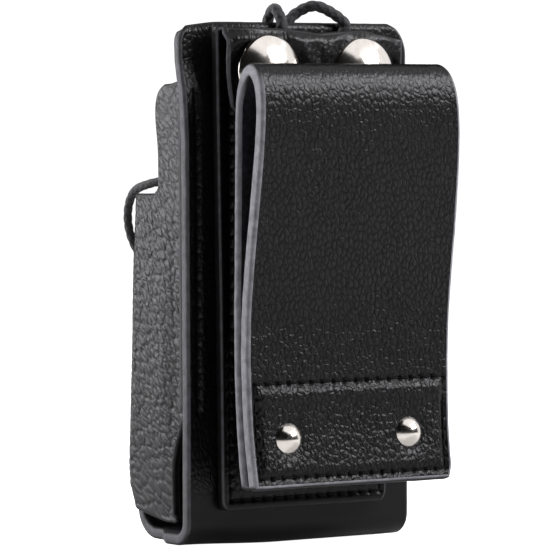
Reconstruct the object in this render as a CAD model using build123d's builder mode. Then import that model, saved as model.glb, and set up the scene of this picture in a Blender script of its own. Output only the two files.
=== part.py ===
from build123d import *

import os

os.makedirs("parts", exist_ok=True)

# Leather carrying case for a hand-held radio, with a snap-closed belt loop on its back.
# +Z is up, -Y is the side the radio faces, +Y is the belt side.
# The origin is the centre of the flat underside.

clear = 0.05            # gap between neighbouring sheets of leather

# Back strap: back panel, underside and front tab in one piece
panel_width = 68.0
panel_height = 134.0
panel_t = 3.0
panel_face_y = 13.6     # outer face of the back panel
panel_corner_r = 7.5
rear_bend_r = 6.0
front_bend_r = 11.4
tab_face_y = -19.0      # outer face of the front tab
waist_width = 58.0      # width of the strap where it turns up at the front
waist_rear_y = 3.0      # the strap starts to narrow here
waist_front_y = -6.0    # and is down to its waist here
tab_inset_x = 26.0      # half width of the tab inside the front wall
tab_inset_z = 8.0       # the tab is narrower above this height
tab_top_z = 40.0
tab_corner_r = 4.0
panel_inner_y = panel_face_y - panel_t

# Front wrap: front wall, both side walls and the sewn rear flanges
wrap_t = 2.2
wrap_half_width = 30.5
wrap_inner_y = tab_face_y - clear
wrap_front_y = wrap_inner_y - wrap_t
wrap_corner_r = 4.0
wrap_top_z = 117.6
wing_corner_r = 6.0
shelf_fillet_r = 2.5
wing_front_y = -5.8     # front edge of the tall narrow part of each side wall
shelf_z = 89.8
flange_foot_z = 25.0    # the side seams end here, below the walls hang free
free_edge_y = 2.0       # rear edge of the free part of each side wall
free_edge_z = 18.0
flange_back_y = panel_inner_y - clear
flange_front_y = flange_back_y - wrap_t
foot_front_z = 9.2
foot_rear_z = 5.7

# Backing panel: sewn on three sides, open at the top as a pocket
backing_half_width = 26.6
backing_foot_z = 9.6
backing_top_z = 131.4
backing_t = 2.8
backing_in_y = panel_face_y + clear
backing_out_y = backing_in_y + backing_t
pocket_depth = 2.75
pocket_half_width = 20.0
pocket_foot_z = 62.0
raised_y = backing_out_y + pocket_depth

# Yoke tab riveted over the backing panel
yoke_t = 2.65
yoke_in_y = raised_y + clear
yoke_out_y = yoke_in_y + yoke_t
yoke_half_width = 26.0
yoke_neck_half = 20.0
yoke_shoulder_z = 110.0
yoke_neck_z = 101.0
yoke_foot_z = 50.0

# Belt loop: one strap folded at the top, its ends snapped together at the bottom
loop_half = 31.0
loop_x = -2.4           # middle of the loop around its seams
loop_top_x = -3.0       # middle of the loop at the fold
loop_foot_x = -2.1      # and at its foot
leaf_in_t = 3.3
leaf_out_t = 3.4
fold_y = 31.85
fold_z = 117.2
fold_outer_r = 5.85
fold_inner_r = 2.45
leaf_back_y = 25.25
waist_y = 28.85         # inner face of the outer leaf where the two leaves meet
leaf_foot_z = 15.8
snap_z = 28.4
snap_half_pitch = 18.8
snap_x = -1.5
patch_low_z = 19.0
patch_high_z = 42.5
patch_half_width = 27.0
bend_foot_z = 42.0      # the leaves swing from the snaps to the waist between these heights
bend_head_z = 52.0
leaf_head_z = 104.0     # the inner leaf leaves the packing here
snap_face_y = 33.2      # outer face of the outer leaf around the snaps
snap_seat_y = 29.65     # front face of the inner leaf around the snaps

# Snap fasteners
snap_cap_r = 4.5
snap_cap_h = 2.25
snap_shank_r = 1.35
snap_disc_r = 4.1       # socket and stud discs
snap_seat_r = 4.4       # their seats in the leather
snap_stud_r = 2.0
snap_bore_r = 1.45
snap_post_r = 3.4
socket_h = 1.6

# Packing between yoke and inner leaf
packing_in_y = yoke_out_y + clear
packing_out_y = leaf_back_y - clear
packing_half_width = 20.0
packing_low_z = 54.0
packing_high_z = 107.0

# Rivets through yoke and backing panel
rivet_x = 15.0
rivet_z = 120.8
rivet_cap_r = 9.3
rivet_cap_h = 4.0
rivet_post_r = 2.0
washer_r = 4.5
washer_t = 0.8

# Elastic cord and thread
cord_r = 1.2
cord_hole_x = 9.0       # punched holes in the front wall where the cord ends
cord_hole_z = 60.0
knot_r = 2.2
thread_r = 0.35
lay = thread_r + 0.02   # height of a thread's axis above the leather it lies on


# ---- leather body -------------------------------------------------------------

# Back panel, underside and front tab: one thick strap bent twice
with BuildPart() as back_strap:
    with BuildSketch(Plane.YZ.offset(-panel_width / 2)):
        with BuildLine():
            Line((panel_face_y, panel_height), (panel_face_y, rear_bend_r))
            RadiusArc((panel_face_y, rear_bend_r), (panel_face_y - rear_bend_r, 0), rear_bend_r)
            Line((panel_face_y - rear_bend_r, 0), (tab_face_y + front_bend_r, 0))
            RadiusArc((tab_face_y + front_bend_r, 0), (tab_face_y, front_bend_r), front_bend_r)
            Line((tab_face_y, front_bend_r), (tab_face_y, tab_top_z))
            Line((tab_face_y, tab_top_z), (tab_face_y + panel_t, tab_top_z))
            Line((tab_face_y + panel_t, tab_top_z), (tab_face_y + panel_t, front_bend_r))
            RadiusArc(
                (tab_face_y + panel_t, front_bend_r),
                (tab_face_y + front_bend_r, panel_t),
                -(front_bend_r - panel_t),
            )
            Line((tab_face_y + front_bend_r, panel_t), (panel_face_y - rear_bend_r, panel_t))
            RadiusArc(
                (panel_face_y - rear_bend_r, panel_t),
                (panel_inner_y, rear_bend_r),
                -(rear_bend_r - panel_t),
            )
            Line((panel_inner_y, rear_bend_r), (panel_inner_y, panel_height))
            Line((panel_inner_y, panel_height), (panel_face_y, panel_height))
        make_face()
    extrude(amount=panel_width)
    # waist: the strap narrows under the case so that its tab fits inside the wrap
    for side in (-1, 1):
        with BuildSketch(Plane.XY.offset(-1)):
            with BuildLine():
                Polyline(
                    (side * (panel_width / 2 + 1), waist_rear_y + 1.2),
                    (side * panel_width / 2, waist_rear_y),
                    (side * waist_width / 2, waist_front_y),
                    (side * waist_width / 2, 2 * tab_face_y),
                    (side * (panel_width / 2 + 1), 2 * tab_face_y),
                    close=True,
                )
            make_face()
        extrude(amount=tab_top_z + 10, mode=Mode.SUBTRACT)
    # above the front bend the tab steps in again to clear the rounded corners of the wrap
    inset_w = panel_width / 2 - tab_inset_x
    for side in (-1, 1):
        with Locations((side * (tab_inset_x + inset_w / 2), tab_face_y, tab_inset_z)):
            Box(
                inset_w,
                4 * panel_t,
                tab_top_z,
                align=(Align.CENTER, Align.CENTER, Align.MIN),
                mode=Mode.SUBTRACT,
            )
    # rounded top corners of the back panel
    top_corners = back_strap.edges().filter_by(Axis.Y).group_by(Axis.Z)[-1]
    fillet(top_corners, panel_corner_r)
    # rounded corners of the front tab
    tab_corners = (
        back_strap.edges()
        .filter_by(Axis.Y)
        .filter_by_position(Axis.Z, tab_top_z - 0.1, tab_top_z + 0.1)
    )
    fillet(tab_corners, tab_corner_r)
back_strap.part.label = "back_strap"
export_step(back_strap.part, "parts/back_strap.step")

# Front wall and side walls: one thinner sheet, its rear edges turned outward
with BuildPart() as front_wrap:
    with BuildSketch(Plane.XY):
        with BuildLine():
            Polyline(
                (-wrap_half_width, flange_back_y),
                (-wrap_half_width, wrap_front_y),
                (wrap_half_width, wrap_front_y),
                (wrap_half_width, flange_back_y),
                close=True,
            )
        make_face()
        front_points = vertices().group_by(Axis.Y)[0]
        fillet(front_points, wrap_corner_r)
        with BuildSketch(mode=Mode.PRIVATE) as hollow:
            with BuildLine():
                Polyline(
                    (-wrap_half_width + wrap_t, flange_back_y + 1),
                    (-wrap_half_width + wrap_t, wrap_inner_y),
                    (wrap_half_width - wrap_t, wrap_inner_y),
                    (wrap_half_width - wrap_t, flange_back_y + 1),
                    close=True,
                )
            make_face()
            fillet(vertices().group_by(Axis.Y)[0], wrap_corner_r - wrap_t)
        add(hollow.sketch, mode=Mode.SUBTRACT)
        for side in (-1, 1):
            flange_x = side * (wrap_half_width + panel_width / 2 - 1) / 2
            with Locations((flange_x, (flange_back_y + flange_front_y) / 2)):
                Rectangle(panel_width / 2 - wrap_half_width + 1, wrap_t)
    extrude(amount=wrap_top_z)
    # in front of the tall wings the walls stop at the shelf
    with BuildSketch(Plane.YZ.offset(-panel_width)):
        with BuildLine():
            Polyline(
                (wing_front_y, wrap_top_z + 1),
                (wing_front_y, shelf_z),
                (wrap_front_y - 5, shelf_z),
                (wrap_front_y - 5, wrap_top_z + 1),
                close=True,
            )
        make_face()
        fillet(vertices().group_by(Axis.Y)[0].sort_by(Axis.X)[-1], shelf_fillet_r)
    extrude(amount=2 * panel_width, mode=Mode.SUBTRACT)
    # sloping free edge along the bottom
    with BuildSketch(Plane.YZ.offset(-panel_width)):
        with BuildLine():
            Polyline(
                (wrap_front_y - 5, -1.0),
                (wrap_front_y - 5, foot_front_z),
                (wrap_front_y, foot_front_z),
                (flange_back_y + 1, foot_rear_z),
                (flange_back_y + 1, -1.0),
                close=True,
            )
        make_face()
    extrude(amount=2 * panel_width, mode=Mode.SUBTRACT)
    # below the seam the side walls hang free of the back panel
    with BuildSketch(Plane.YZ.offset(-panel_width)):
        with BuildLine():
            Polyline(
                (flange_back_y + 1, -1.0),
                (free_edge_y, -1.0),
                (free_edge_y, free_edge_z),
                (flange_front_y - 0.4, flange_foot_z),
                (flange_back_y + 1, flange_foot_z),
                close=True,
            )
        make_face()
    extrude(amount=2 * panel_width, mode=Mode.SUBTRACT)
    # rounded upper front corner of each wing
    wing_corners = (
        front_wrap.edges()
        .filter_by(Axis.X)
        .filter_by_position(Axis.Z, wrap_top_z - 0.1, wrap_top_z + 0.1)
        .group_by(Axis.Y)[0]
    )
    fillet(wing_corners, wing_corner_r)
    # punched holes that the cord is knotted through
    for side in (-1, 1):
        with Locations(Plane((side * cord_hole_x, wrap_inner_y + 1, cord_hole_z), z_dir=(0, 1, 0))):
            Cylinder(cord_r + 0.15, wrap_t * 3, mode=Mode.SUBTRACT)
front_wrap.part.label = "front_wrap"
export_step(front_wrap.part, "parts/front_wrap.step")


# ---- backing panel, yoke and packing ------------------------------------------

with BuildPart() as backing_panel:
    with BuildSketch(Plane.XZ.offset(-backing_in_y)):
        with Locations((0, (backing_foot_z + backing_top_z) / 2)):
            RectangleRounded(2 * backing_half_width, backing_top_z - backing_foot_z, 3.0)
    extrude(amount=-backing_t)
    # raised middle over the cord pocket
    with BuildSketch(Plane.YZ.offset(-pocket_half_width - 2)):
        with BuildLine():
            Polyline(
                (backing_out_y - 0.5, pocket_foot_z - 12),
                (raised_y, pocket_foot_z),
                (raised_y, backing_top_z),
                (backing_out_y - 0.5, backing_top_z),
                close=True,
            )
        make_face()
    extrude(amount=2 * pocket_half_width + 4)
    with BuildSketch(Plane.YZ.offset(-pocket_half_width)):
        with BuildLine():
            Polyline(
                (backing_in_y - 1, pocket_foot_z - 9.5),
                (raised_y - backing_t, pocket_foot_z + 4),
                (raised_y - backing_t, backing_top_z + 1),
                (backing_in_y - 1, backing_top_z + 1),
                close=True,
            )
        make_face()
    extrude(amount=2 * pocket_half_width, mode=Mode.SUBTRACT)
    # rivet holes
    for side in (-1, 1):
        with Locations(Plane((side * rivet_x, raised_y, rivet_z), z_dir=(0, 1, 0))):
            Cylinder(rivet_post_r + 0.05, 8, mode=Mode.SUBTRACT)
backing_panel.part.label = "backing_panel"
export_step(backing_panel.part, "parts/backing_panel.step")

with BuildPart() as yoke_tab:
    with BuildSketch(Plane.XZ.offset(-yoke_in_y)):
        with BuildLine():
            Polyline(
                (-yoke_half_width, backing_top_z),
                (-yoke_half_width, yoke_shoulder_z),
                (-yoke_neck_half, yoke_neck_z),
                (-yoke_neck_half, yoke_foot_z),
                (yoke_neck_half, yoke_foot_z),
                (yoke_neck_half, yoke_neck_z),
                (yoke_half_width, yoke_shoulder_z),
                (yoke_half_width, backing_top_z),
                close=True,
            )
        make_face()
        fillet(vertices().group_by(Axis.Y)[-1], 3.0)
        fillet(vertices().group_by(Axis.Y)[0], 5.0)
    extrude(amount=-yoke_t)
    for side in (-1, 1):
        with Locations(Plane((side * rivet_x, yoke_out_y, rivet_z), z_dir=(0, 1, 0))):
            Cylinder(rivet_post_r + 0.05, 8, mode=Mode.SUBTRACT)
yoke_tab.part.label = "yoke_tab"
export_step(yoke_tab.part, "parts/yoke_tab.step")

# Leather packing that keeps the belt loop clear of the rivet caps
with BuildPart() as loop_packing:
    with BuildSketch(Plane.XZ.offset(-packing_in_y)):
        with Locations((loop_x, (packing_low_z + packing_high_z) / 2)):
            RectangleRounded(2 * packing_half_width, packing_high_z - packing_low_z, 4.0)
    extrude(amount=-(packing_out_y - packing_in_y))
loop_packing.part.label = "loop_packing"
export_step(loop_packing.part, "parts/loop_packing.step")


# ---- belt loop ----------------------------------------------------------------

# Each leaf is its side outline as seen along X, cut to the slightly leaning front outline
front_outline = [
    (loop_top_x - loop_half, fold_z),
    (loop_foot_x - loop_half, leaf_foot_z),
    (loop_foot_x + loop_half, leaf_foot_z),
    (loop_top_x + loop_half, fold_z),
]
outline_depth = fold_y + 2 * fold_outer_r

with BuildPart() as belt_loop_inner_leaf:
    with BuildSketch(Plane.YZ.offset(-panel_width)):
        with BuildLine():
            Polyline(
                (fold_y - fold_outer_r, fold_z),
                (leaf_back_y, leaf_head_z),
                (leaf_back_y, bend_head_z),
                (snap_seat_y - leaf_in_t, bend_foot_z),
                (snap_seat_y - leaf_in_t, leaf_foot_z),
                (snap_seat_y, leaf_foot_z),
                (snap_seat_y, bend_foot_z),
                (leaf_back_y + leaf_in_t, bend_head_z),
                (leaf_back_y + leaf_in_t, leaf_head_z),
                (fold_y - fold_inner_r, fold_z),
                close=True,
            )
        make_face()
        bends = [v for v in vertices() if leaf_foot_z + 1 < v.Y < fold_z - 1]
        fillet(bends, 40)
    extrude(amount=2 * panel_width)
    with BuildSketch(Plane.XZ):
        with BuildLine():
            Polyline(*front_outline, close=True)
        make_face()
    extrude(amount=-outline_depth, mode=Mode.INTERSECT)
    # holes and seats of the two snap studs
    for side in (-1, 1):
        x = snap_x + side * snap_half_pitch
        with Locations(Plane((x, snap_seat_y, snap_z), z_dir=(0, 1, 0))):
            Cylinder(snap_bore_r, 4 * leaf_in_t, mode=Mode.SUBTRACT)
            Cylinder(snap_seat_r, 1.4, mode=Mode.SUBTRACT)
        with Locations(Plane((x, snap_seat_y - leaf_in_t, snap_z), z_dir=(0, 1, 0))):
            Cylinder(snap_post_r + 0.3, 0.6, mode=Mode.SUBTRACT)
belt_loop_inner_leaf.part.label = "belt_loop_inner_leaf"
export_step(belt_loop_inner_leaf.part, "parts/belt_loop_inner_leaf.step")

# The turn at the top, which bends like a hinge when the loop is opened
with BuildPart() as belt_loop_fold:
    with BuildSketch(Plane.YZ.offset(loop_top_x - loop_half)):
        with Locations((fold_y, fold_z)):
            Circle(fold_outer_r)
            Circle(fold_inner_r, mode=Mode.SUBTRACT)
        with Locations((fold_y, fold_z + clear - 2 * fold_outer_r)):
            Rectangle(4 * fold_outer_r, 4 * fold_outer_r, mode=Mode.SUBTRACT)
    extrude(amount=2 * loop_half)
belt_loop_fold.part.label = "belt_loop_fold"
export_step(belt_loop_fold.part, "parts/belt_loop_fold.step")

with BuildPart() as belt_loop_outer_leaf:
    with BuildSketch(Plane.YZ.offset(-panel_width)):
        with BuildLine():
            Polyline(
                (fold_y + fold_inner_r, fold_z),
                (fold_y + fold_inner_r - 0.1, 106),
                (waist_y, 60),
                (waist_y, 52.5),
                (snap_seat_y + 0.15, 43),
                (snap_seat_y + 0.15, leaf_foot_z),
                (snap_face_y, leaf_foot_z),
                (snap_face_y, 43),
                (waist_y + leaf_out_t, 52.5),
                (waist_y + leaf_out_t, 60),
                (fold_y + fold_outer_r - 0.1, 106),
                (fold_y + fold_outer_r, fold_z),
                close=True,
            )
        make_face()
        bends = [v for v in vertices() if leaf_foot_z + 1 < v.Y < fold_z - 1]
        fillet(bends, 30)
    extrude(amount=2 * panel_width)
    with BuildSketch(Plane.XZ):
        with BuildLine():
            Polyline(*front_outline, close=True)
        make_face()
    extrude(amount=-outline_depth, mode=Mode.INTERSECT)
    # recess for the reinforcing patch
    with BuildSketch(Plane.XZ.offset(-(snap_seat_y - 1))):
        with Locations((loop_x, (patch_low_z + patch_high_z) / 2)):
            Rectangle(2 * patch_half_width, patch_high_z - patch_low_z - 1)
    extrude(amount=-2.0, mode=Mode.SUBTRACT)
    for side in (-1, 1):
        x = snap_x + side * snap_half_pitch
        with Locations(Plane((x, snap_face_y, snap_z), z_dir=(0, 1, 0))):
            Cylinder(snap_bore_r, 4 * leaf_out_t, mode=Mode.SUBTRACT)
        with Locations(Plane((x, snap_seat_y + 1, snap_z), z_dir=(0, 1, 0))):
            Cylinder(snap_seat_r, socket_h, mode=Mode.SUBTRACT)
belt_loop_outer_leaf.part.label = "belt_loop_outer_leaf"
export_step(belt_loop_outer_leaf.part, "parts/belt_loop_outer_leaf.step")

# Thin reinforcement let into the outer leaf behind the snaps
with BuildPart() as flap_reinforcement:
    with BuildSketch(Plane.XZ.offset(-(snap_seat_y + 0.18))):
        with Locations((loop_x, (patch_low_z + patch_high_z) / 2)):
            Rectangle(2 * patch_half_width - 0.2, patch_high_z - patch_low_z - 1.2)
        with Locations(
            (snap_x - snap_half_pitch, snap_z),
            (snap_x + snap_half_pitch, snap_z),
        ):
            Circle(snap_seat_r, mode=Mode.SUBTRACT)
    extrude(amount=-0.8)
flap_reinforcement.part.label = "flap_reinforcement"
export_step(flap_reinforcement.part, "parts/flap_reinforcement.step")


# ---- metal fittings -----------------------------------------------------------

on_foot = (Align.CENTER, Align.CENTER, Align.MIN)
snap_centres = [
    (snap_x - snap_half_pitch, 0, snap_z),
    (snap_x + snap_half_pitch, 0, snap_z),
]
rivet_centres = [(-rivet_x, 0, rivet_z), (rivet_x, 0, rivet_z)]

shank_foot_y = snap_seat_y + 1.80

# Domed snap caps with the shank that passes through the outer leaf
with BuildPart() as snap_caps:
    with BuildSketch(Plane.XY):
        with BuildLine():
            Line((0, shank_foot_y), (0, snap_face_y + snap_cap_h))
            ThreePointArc(
                (0, snap_face_y + snap_cap_h),
                (snap_cap_r * 0.69, snap_face_y + snap_cap_h * 0.64),
                (snap_cap_r, snap_face_y + 0.30),
            )
            Polyline(
                (snap_cap_r, snap_face_y + 0.30),
                (snap_cap_r - 0.2, snap_face_y + 0.03),
                (snap_shank_r, snap_face_y + 0.03),
                (snap_shank_r, shank_foot_y),
                (0, shank_foot_y),
            )
        make_face()
    revolve(axis=Axis.Y)
cap_shape = snap_caps.part
with BuildPart() as snap_caps:
    for centre in snap_centres:
        with Locations(centre):
            add(cap_shape)
snap_caps.part.label = "snap_caps"
export_step(snap_caps.part, "parts/snap_caps.step")

# Sockets on the inner face of the outer leaf
with BuildPart() as snap_sockets:
    for centre in snap_centres:
        with Locations(Plane((centre[0], snap_seat_y + 0.13, snap_z), z_dir=(0, 1, 0))):
            Cylinder(snap_disc_r, socket_h, align=on_foot)
            Cylinder(snap_stud_r + 0.2, 1.2, align=on_foot, mode=Mode.SUBTRACT)
snap_sockets.part.label = "snap_sockets"
export_step(snap_sockets.part, "parts/snap_sockets.step")

# Studs on the front face of the inner leaf
with BuildPart() as snap_studs:
    for centre in snap_centres:
        with Locations(Plane((centre[0], snap_seat_y - 0.65, snap_z), z_dir=(0, 1, 0))):
            Cylinder(snap_disc_r, 0.6, align=on_foot)
            Cylinder(snap_stud_r, 1.85, align=on_foot)
    stud_heads = snap_studs.edges().filter_by(GeomType.CIRCLE).group_by(Axis.Y)[-1]
    fillet(stud_heads, 0.5)
snap_studs.part.label = "snap_studs"
export_step(snap_studs.part, "parts/snap_studs.step")

# Posts that clamp the studs from behind
with BuildPart() as snap_posts:
    for centre in snap_centres:
        with Locations(Plane((centre[0], snap_seat_y - leaf_in_t - 0.25, snap_z), z_dir=(0, 1, 0))):
            Cylinder(snap_post_r, 0.5, align=on_foot)
            Cylinder(snap_shank_r, 2.82, align=on_foot)
snap_posts.part.label = "snap_posts"
export_step(snap_posts.part, "parts/snap_posts.step")

# Large domed rivet caps with their hollow posts
with BuildPart() as rivet_caps:
    with BuildSketch(Plane.XY):
        with BuildLine():
            Line((0, yoke_out_y + 0.03), (0, yoke_out_y + rivet_cap_h))
            ThreePointArc(
                (0, yoke_out_y + rivet_cap_h),
                (rivet_cap_r * 0.68, yoke_out_y + rivet_cap_h * 0.60),
                (rivet_cap_r, yoke_out_y + 0.40),
            )
            Polyline(
                (rivet_cap_r, yoke_out_y + 0.40),
                (rivet_cap_r - 0.2, yoke_out_y + 0.03),
                (0, yoke_out_y + 0.03),
            )
        make_face()
    revolve(axis=Axis.Y)
dome_shape = rivet_caps.part
with BuildPart() as rivet_caps:
    for centre in rivet_centres:
        with Locations(centre):
            add(dome_shape)
rivet_caps.part.label = "rivet_caps"
export_step(rivet_caps.part, "parts/rivet_caps.step")

with BuildPart() as rivet_posts:
    for centre in rivet_centres:
        with Locations(Plane((centre[0], backing_in_y + 0.9, rivet_z), z_dir=(0, 1, 0))):
            Cylinder(rivet_post_r, yoke_out_y - backing_in_y - 0.9, align=on_foot)
rivet_posts.part.label = "rivet_posts"
export_step(rivet_posts.part, "parts/rivet_posts.step")

# Washers that spread the clamp load inside the pocket
with BuildPart() as rivet_washers:
    for centre in rivet_centres:
        with Locations(Plane((centre[0], raised_y - backing_t - 0.85, rivet_z), z_dir=(0, 1, 0))):
            Cylinder(washer_r, washer_t, align=on_foot)
            Cylinder(rivet_post_r + 0.05, washer_t, align=on_foot, mode=Mode.SUBTRACT)
rivet_washers.part.label = "rivet_washers"
export_step(rivet_washers.part, "parts/rivet_washers.step")


# ---- elastic cord -------------------------------------------------------------

pocket_cord_y = backing_in_y + pocket_depth / 2
loop_left_x = 8.0
loop_right_x = -14.5
loop_right_in_x = 2.0
cord_cut_z = 129.0
inside_y = panel_inner_y - cord_r - 0.15

# The bight of cord held in the pocket
with BuildPart() as cord_pocket_run:
    with BuildLine() as pocket_path:
        Spline(
            (loop_left_x, pocket_cord_y, cord_cut_z),
            (5.5, pocket_cord_y, 112),
            (-0.5, pocket_cord_y, 102),
            (-6.0, pocket_cord_y, 112),
            (loop_right_x + 2.5, pocket_cord_y, cord_cut_z),
            tangents=[(0, 0, -1), (-0.35, 0, 1)],
        )
    with BuildSketch(Plane(origin=pocket_path.line @ 0, z_dir=pocket_path.line % 0)):
        Circle(cord_r)
    sweep()
cord_pocket_run.part.label = "cord_pocket_run"
export_step(cord_pocket_run.part, "parts/cord_pocket_run.step")

# Two loops over the top edge of the back panel, pulled up over the radio
with BuildPart() as cord_top_loops:
    with BuildLine() as left_path:
        Spline(
            (loop_left_x, pocket_cord_y, cord_cut_z + 0.05),
            (loop_left_x, pocket_cord_y + 0.15, 133.4),
            (loop_left_x, (pocket_cord_y + inside_y) / 2, 137.6),
            (loop_left_x, inside_y - 0.25, 133.6),
            (loop_left_x, inside_y, cord_cut_z - 2),
            tangents=[(0, 0, 1), (0, 0, -1)],
        )
    with BuildSketch(Plane(origin=left_path.line @ 0, z_dir=left_path.line % 0)):
        Circle(cord_r)
    sweep()
left_loop_shape = cord_top_loops.part
with BuildPart() as cord_top_loops:
    with BuildLine() as right_path:
        Spline(
            (loop_right_x + 2.5, pocket_cord_y, cord_cut_z + 0.05),
            (loop_right_x + 1.1, pocket_cord_y + 0.15, 133.4),
            (-6.0, (pocket_cord_y + inside_y) / 2 + 0.6, 138.2),
            (-1.8, inside_y + 0.3, 137.2),
            (loop_right_in_x - 0.6, inside_y - 0.3, 133.4),
            (loop_right_in_x, inside_y, cord_cut_z - 2),
            tangents=[(-0.35, 0, 1), (0, 0, -1)],
        )
    with BuildSketch(Plane(origin=right_path.line @ 0, z_dir=right_path.line % 0)):
        Circle(cord_r)
    sweep()
    add(left_loop_shape)
cord_top_loops.part.label = "cord_top_loops"
export_step(cord_top_loops.part, "parts/cord_top_loops.step")

# Runs down the inside, out over the shelves and down the front to the punched holes
front_run_y = wrap_front_y - cord_r - 0.1
run_solids = []
for side, top_x in ((1, loop_left_x), (-1, loop_right_in_x)):
    with BuildPart() as run:
        with BuildLine() as run_path:
            Spline(
                (top_x, inside_y, cord_cut_z - 2.05),
                (top_x + side * 2.5, inside_y - 0.8, 118),
                (side * 22.5, 3.0, 99.0),
                (side * 26.3, -5.0, 94.6),
                (side * 28.0, -13.5, 94.3),
                (side * 28.6, wrap_front_y - 2.0, 91.1),
                (side * 27.6, wrap_front_y - 4.6, 84.5),
                (side * 23.0, front_run_y - 1.6, 75.5),
                (side * 14.0, front_run_y - 0.35, 65.5),
                (side * (cord_hole_x + 0.9), front_run_y - 0.2, cord_hole_z + 1.4),
                tangents=[(0, 0, -1), (side * -0.8, 0, -0.6)],
            )
        with BuildSketch(Plane(origin=run_path.line @ 0, z_dir=run_path.line % 0)):
            Circle(cord_r)
        sweep()
    run_solids.append(run.part)
with BuildPart() as cord_side_runs:
    for shape in run_solids:
        add(shape)
cord_side_runs.part.label = "cord_side_runs"
export_step(cord_side_runs.part, "parts/cord_side_runs.step")

# Ends of the cord: a short neck through each punched hole and a knot inside the wall
with BuildPart() as cord_end_knots:
    for side in (-1, 1):
        with Locations(Plane((side * cord_hole_x, front_run_y - cord_r, cord_hole_z), z_dir=(0, 1, 0))):
            Cylinder(
                cord_r,
                wrap_inner_y - front_run_y + cord_r + 1.0,
                align=on_foot,
            )
        with Locations((side * cord_hole_x, wrap_inner_y + knot_r + 0.15, cord_hole_z)):
            Sphere(knot_r)
cord_end_knots.part.label = "cord_end_knots"
export_step(cord_end_knots.part, "parts/cord_end_knots.step")


# ---- thread -------------------------------------------------------------------

seam_x = 31.1           # side seam on the outer face of the back panel
flange_seam_x = 32.4    # the same seam on the flange of the wrap
backing_seam_x = 23.4
backing_seam_z = 12.4
patch_seam_half = 28.3
anchor_seam_half = 16.5
anchor_low_z = 70.0
anchor_high_z = 101.0
tab_seam_half = 22.5
tab_seam_low_z = 14.0
seam_low_z = flange_foot_z + 1.0
seam_high_z = wrap_top_z - 2.0

# Side seams: back panel to the flanges of the wrap, thread seen on both faces
with BuildPart() as stitching_side_seams:
    for side in (-1, 1):
        for x, y in ((seam_x, panel_face_y + lay), (flange_seam_x, flange_front_y - lay)):
            with Locations((side * x, y, seam_low_z)):
                Cylinder(thread_r, seam_high_z - seam_low_z, align=on_foot)
stitching_side_seams.part.label = "stitching_side_seams"
export_step(stitching_side_seams.part, "parts/stitching_side_seams.step")

# Backing panel: down one side, across the foot and up the other
with BuildPart() as stitching_backing_panel:
    with BuildLine() as backing_seam:
        seam_y = backing_out_y + lay
        FilletPolyline(
            (-backing_seam_x, seam_y, backing_top_z - 1.5),
            (-backing_seam_x, seam_y, backing_seam_z),
            (backing_seam_x, seam_y, backing_seam_z),
            (backing_seam_x, seam_y, backing_top_z - 1.5),
            radius=1.5,
        )
    with BuildSketch(Plane(origin=backing_seam.line @ 0, z_dir=backing_seam.line % 0)):
        Circle(thread_r)
    sweep()
stitching_backing_panel.part.label = "stitching_backing_panel"
export_step(stitching_backing_panel.part, "parts/stitching_backing_panel.step")

# Rectangle of stitches around the snaps
with BuildPart() as stitching_flap_patch:
    with BuildLine() as patch_seam:
        seam_y = snap_face_y + lay
        FilletPolyline(
            (loop_x - patch_seam_half, seam_y, patch_low_z),
            (loop_x + patch_seam_half, seam_y, patch_low_z),
            (loop_x + patch_seam_half, seam_y, patch_high_z),
            (loop_x - patch_seam_half, seam_y, patch_high_z),
            close=True,
            radius=1.2,
        )
    with BuildSketch(Plane(origin=patch_seam.line @ 0, z_dir=patch_seam.line % 0)):
        Circle(thread_r)
    sweep()
stitching_flap_patch.part.label = "stitching_flap_patch"
export_step(stitching_flap_patch.part, "parts/stitching_flap_patch.step")

# Box of stitches that holds inner leaf, packing and yoke together
with BuildPart() as stitching_loop_anchor:
    with BuildLine() as anchor_seam:
        seam_y = leaf_back_y + leaf_in_t + lay
        FilletPolyline(
            (loop_x - anchor_seam_half, seam_y, anchor_low_z),
            (loop_x + anchor_seam_half, seam_y, anchor_low_z),
            (loop_x + anchor_seam_half, seam_y, anchor_high_z),
            (loop_x - anchor_seam_half, seam_y, anchor_high_z),
            close=True,
            radius=1.2,
        )
    with BuildSketch(Plane(origin=anchor_seam.line @ 0, z_dir=anchor_seam.line % 0)):
        Circle(thread_r)
    sweep()
stitching_loop_anchor.part.label = "stitching_loop_anchor"
export_step(stitching_loop_anchor.part, "parts/stitching_loop_anchor.step")

# Rectangle of stitches that holds the front tab of the strap inside the front wall
with BuildPart() as stitching_front_tab:
    with BuildLine() as tab_seam:
        seam_y = wrap_front_y - lay
        FilletPolyline(
            (-tab_seam_half, seam_y, tab_seam_low_z),
            (tab_seam_half, seam_y, tab_seam_low_z),
            (tab_seam_half, seam_y, tab_top_z - 4),
            (-tab_seam_half, seam_y, tab_top_z - 4),
            close=True,
            radius=1.2,
        )
    with BuildSketch(Plane(origin=tab_seam.line @ 0, z_dir=tab_seam.line % 0)):
        Circle(thread_r)
    sweep()
stitching_front_tab.part.label = "stitching_front_tab"
export_step(stitching_front_tab.part, "parts/stitching_front_tab.step")
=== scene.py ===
"""Black pebbled-leather case for a hand-held radio: belt loop, snaps, rivets, elastic cord."""

import math

import bmesh
import bpy
import numpy as np
from mathutils import Matrix, Vector


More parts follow.
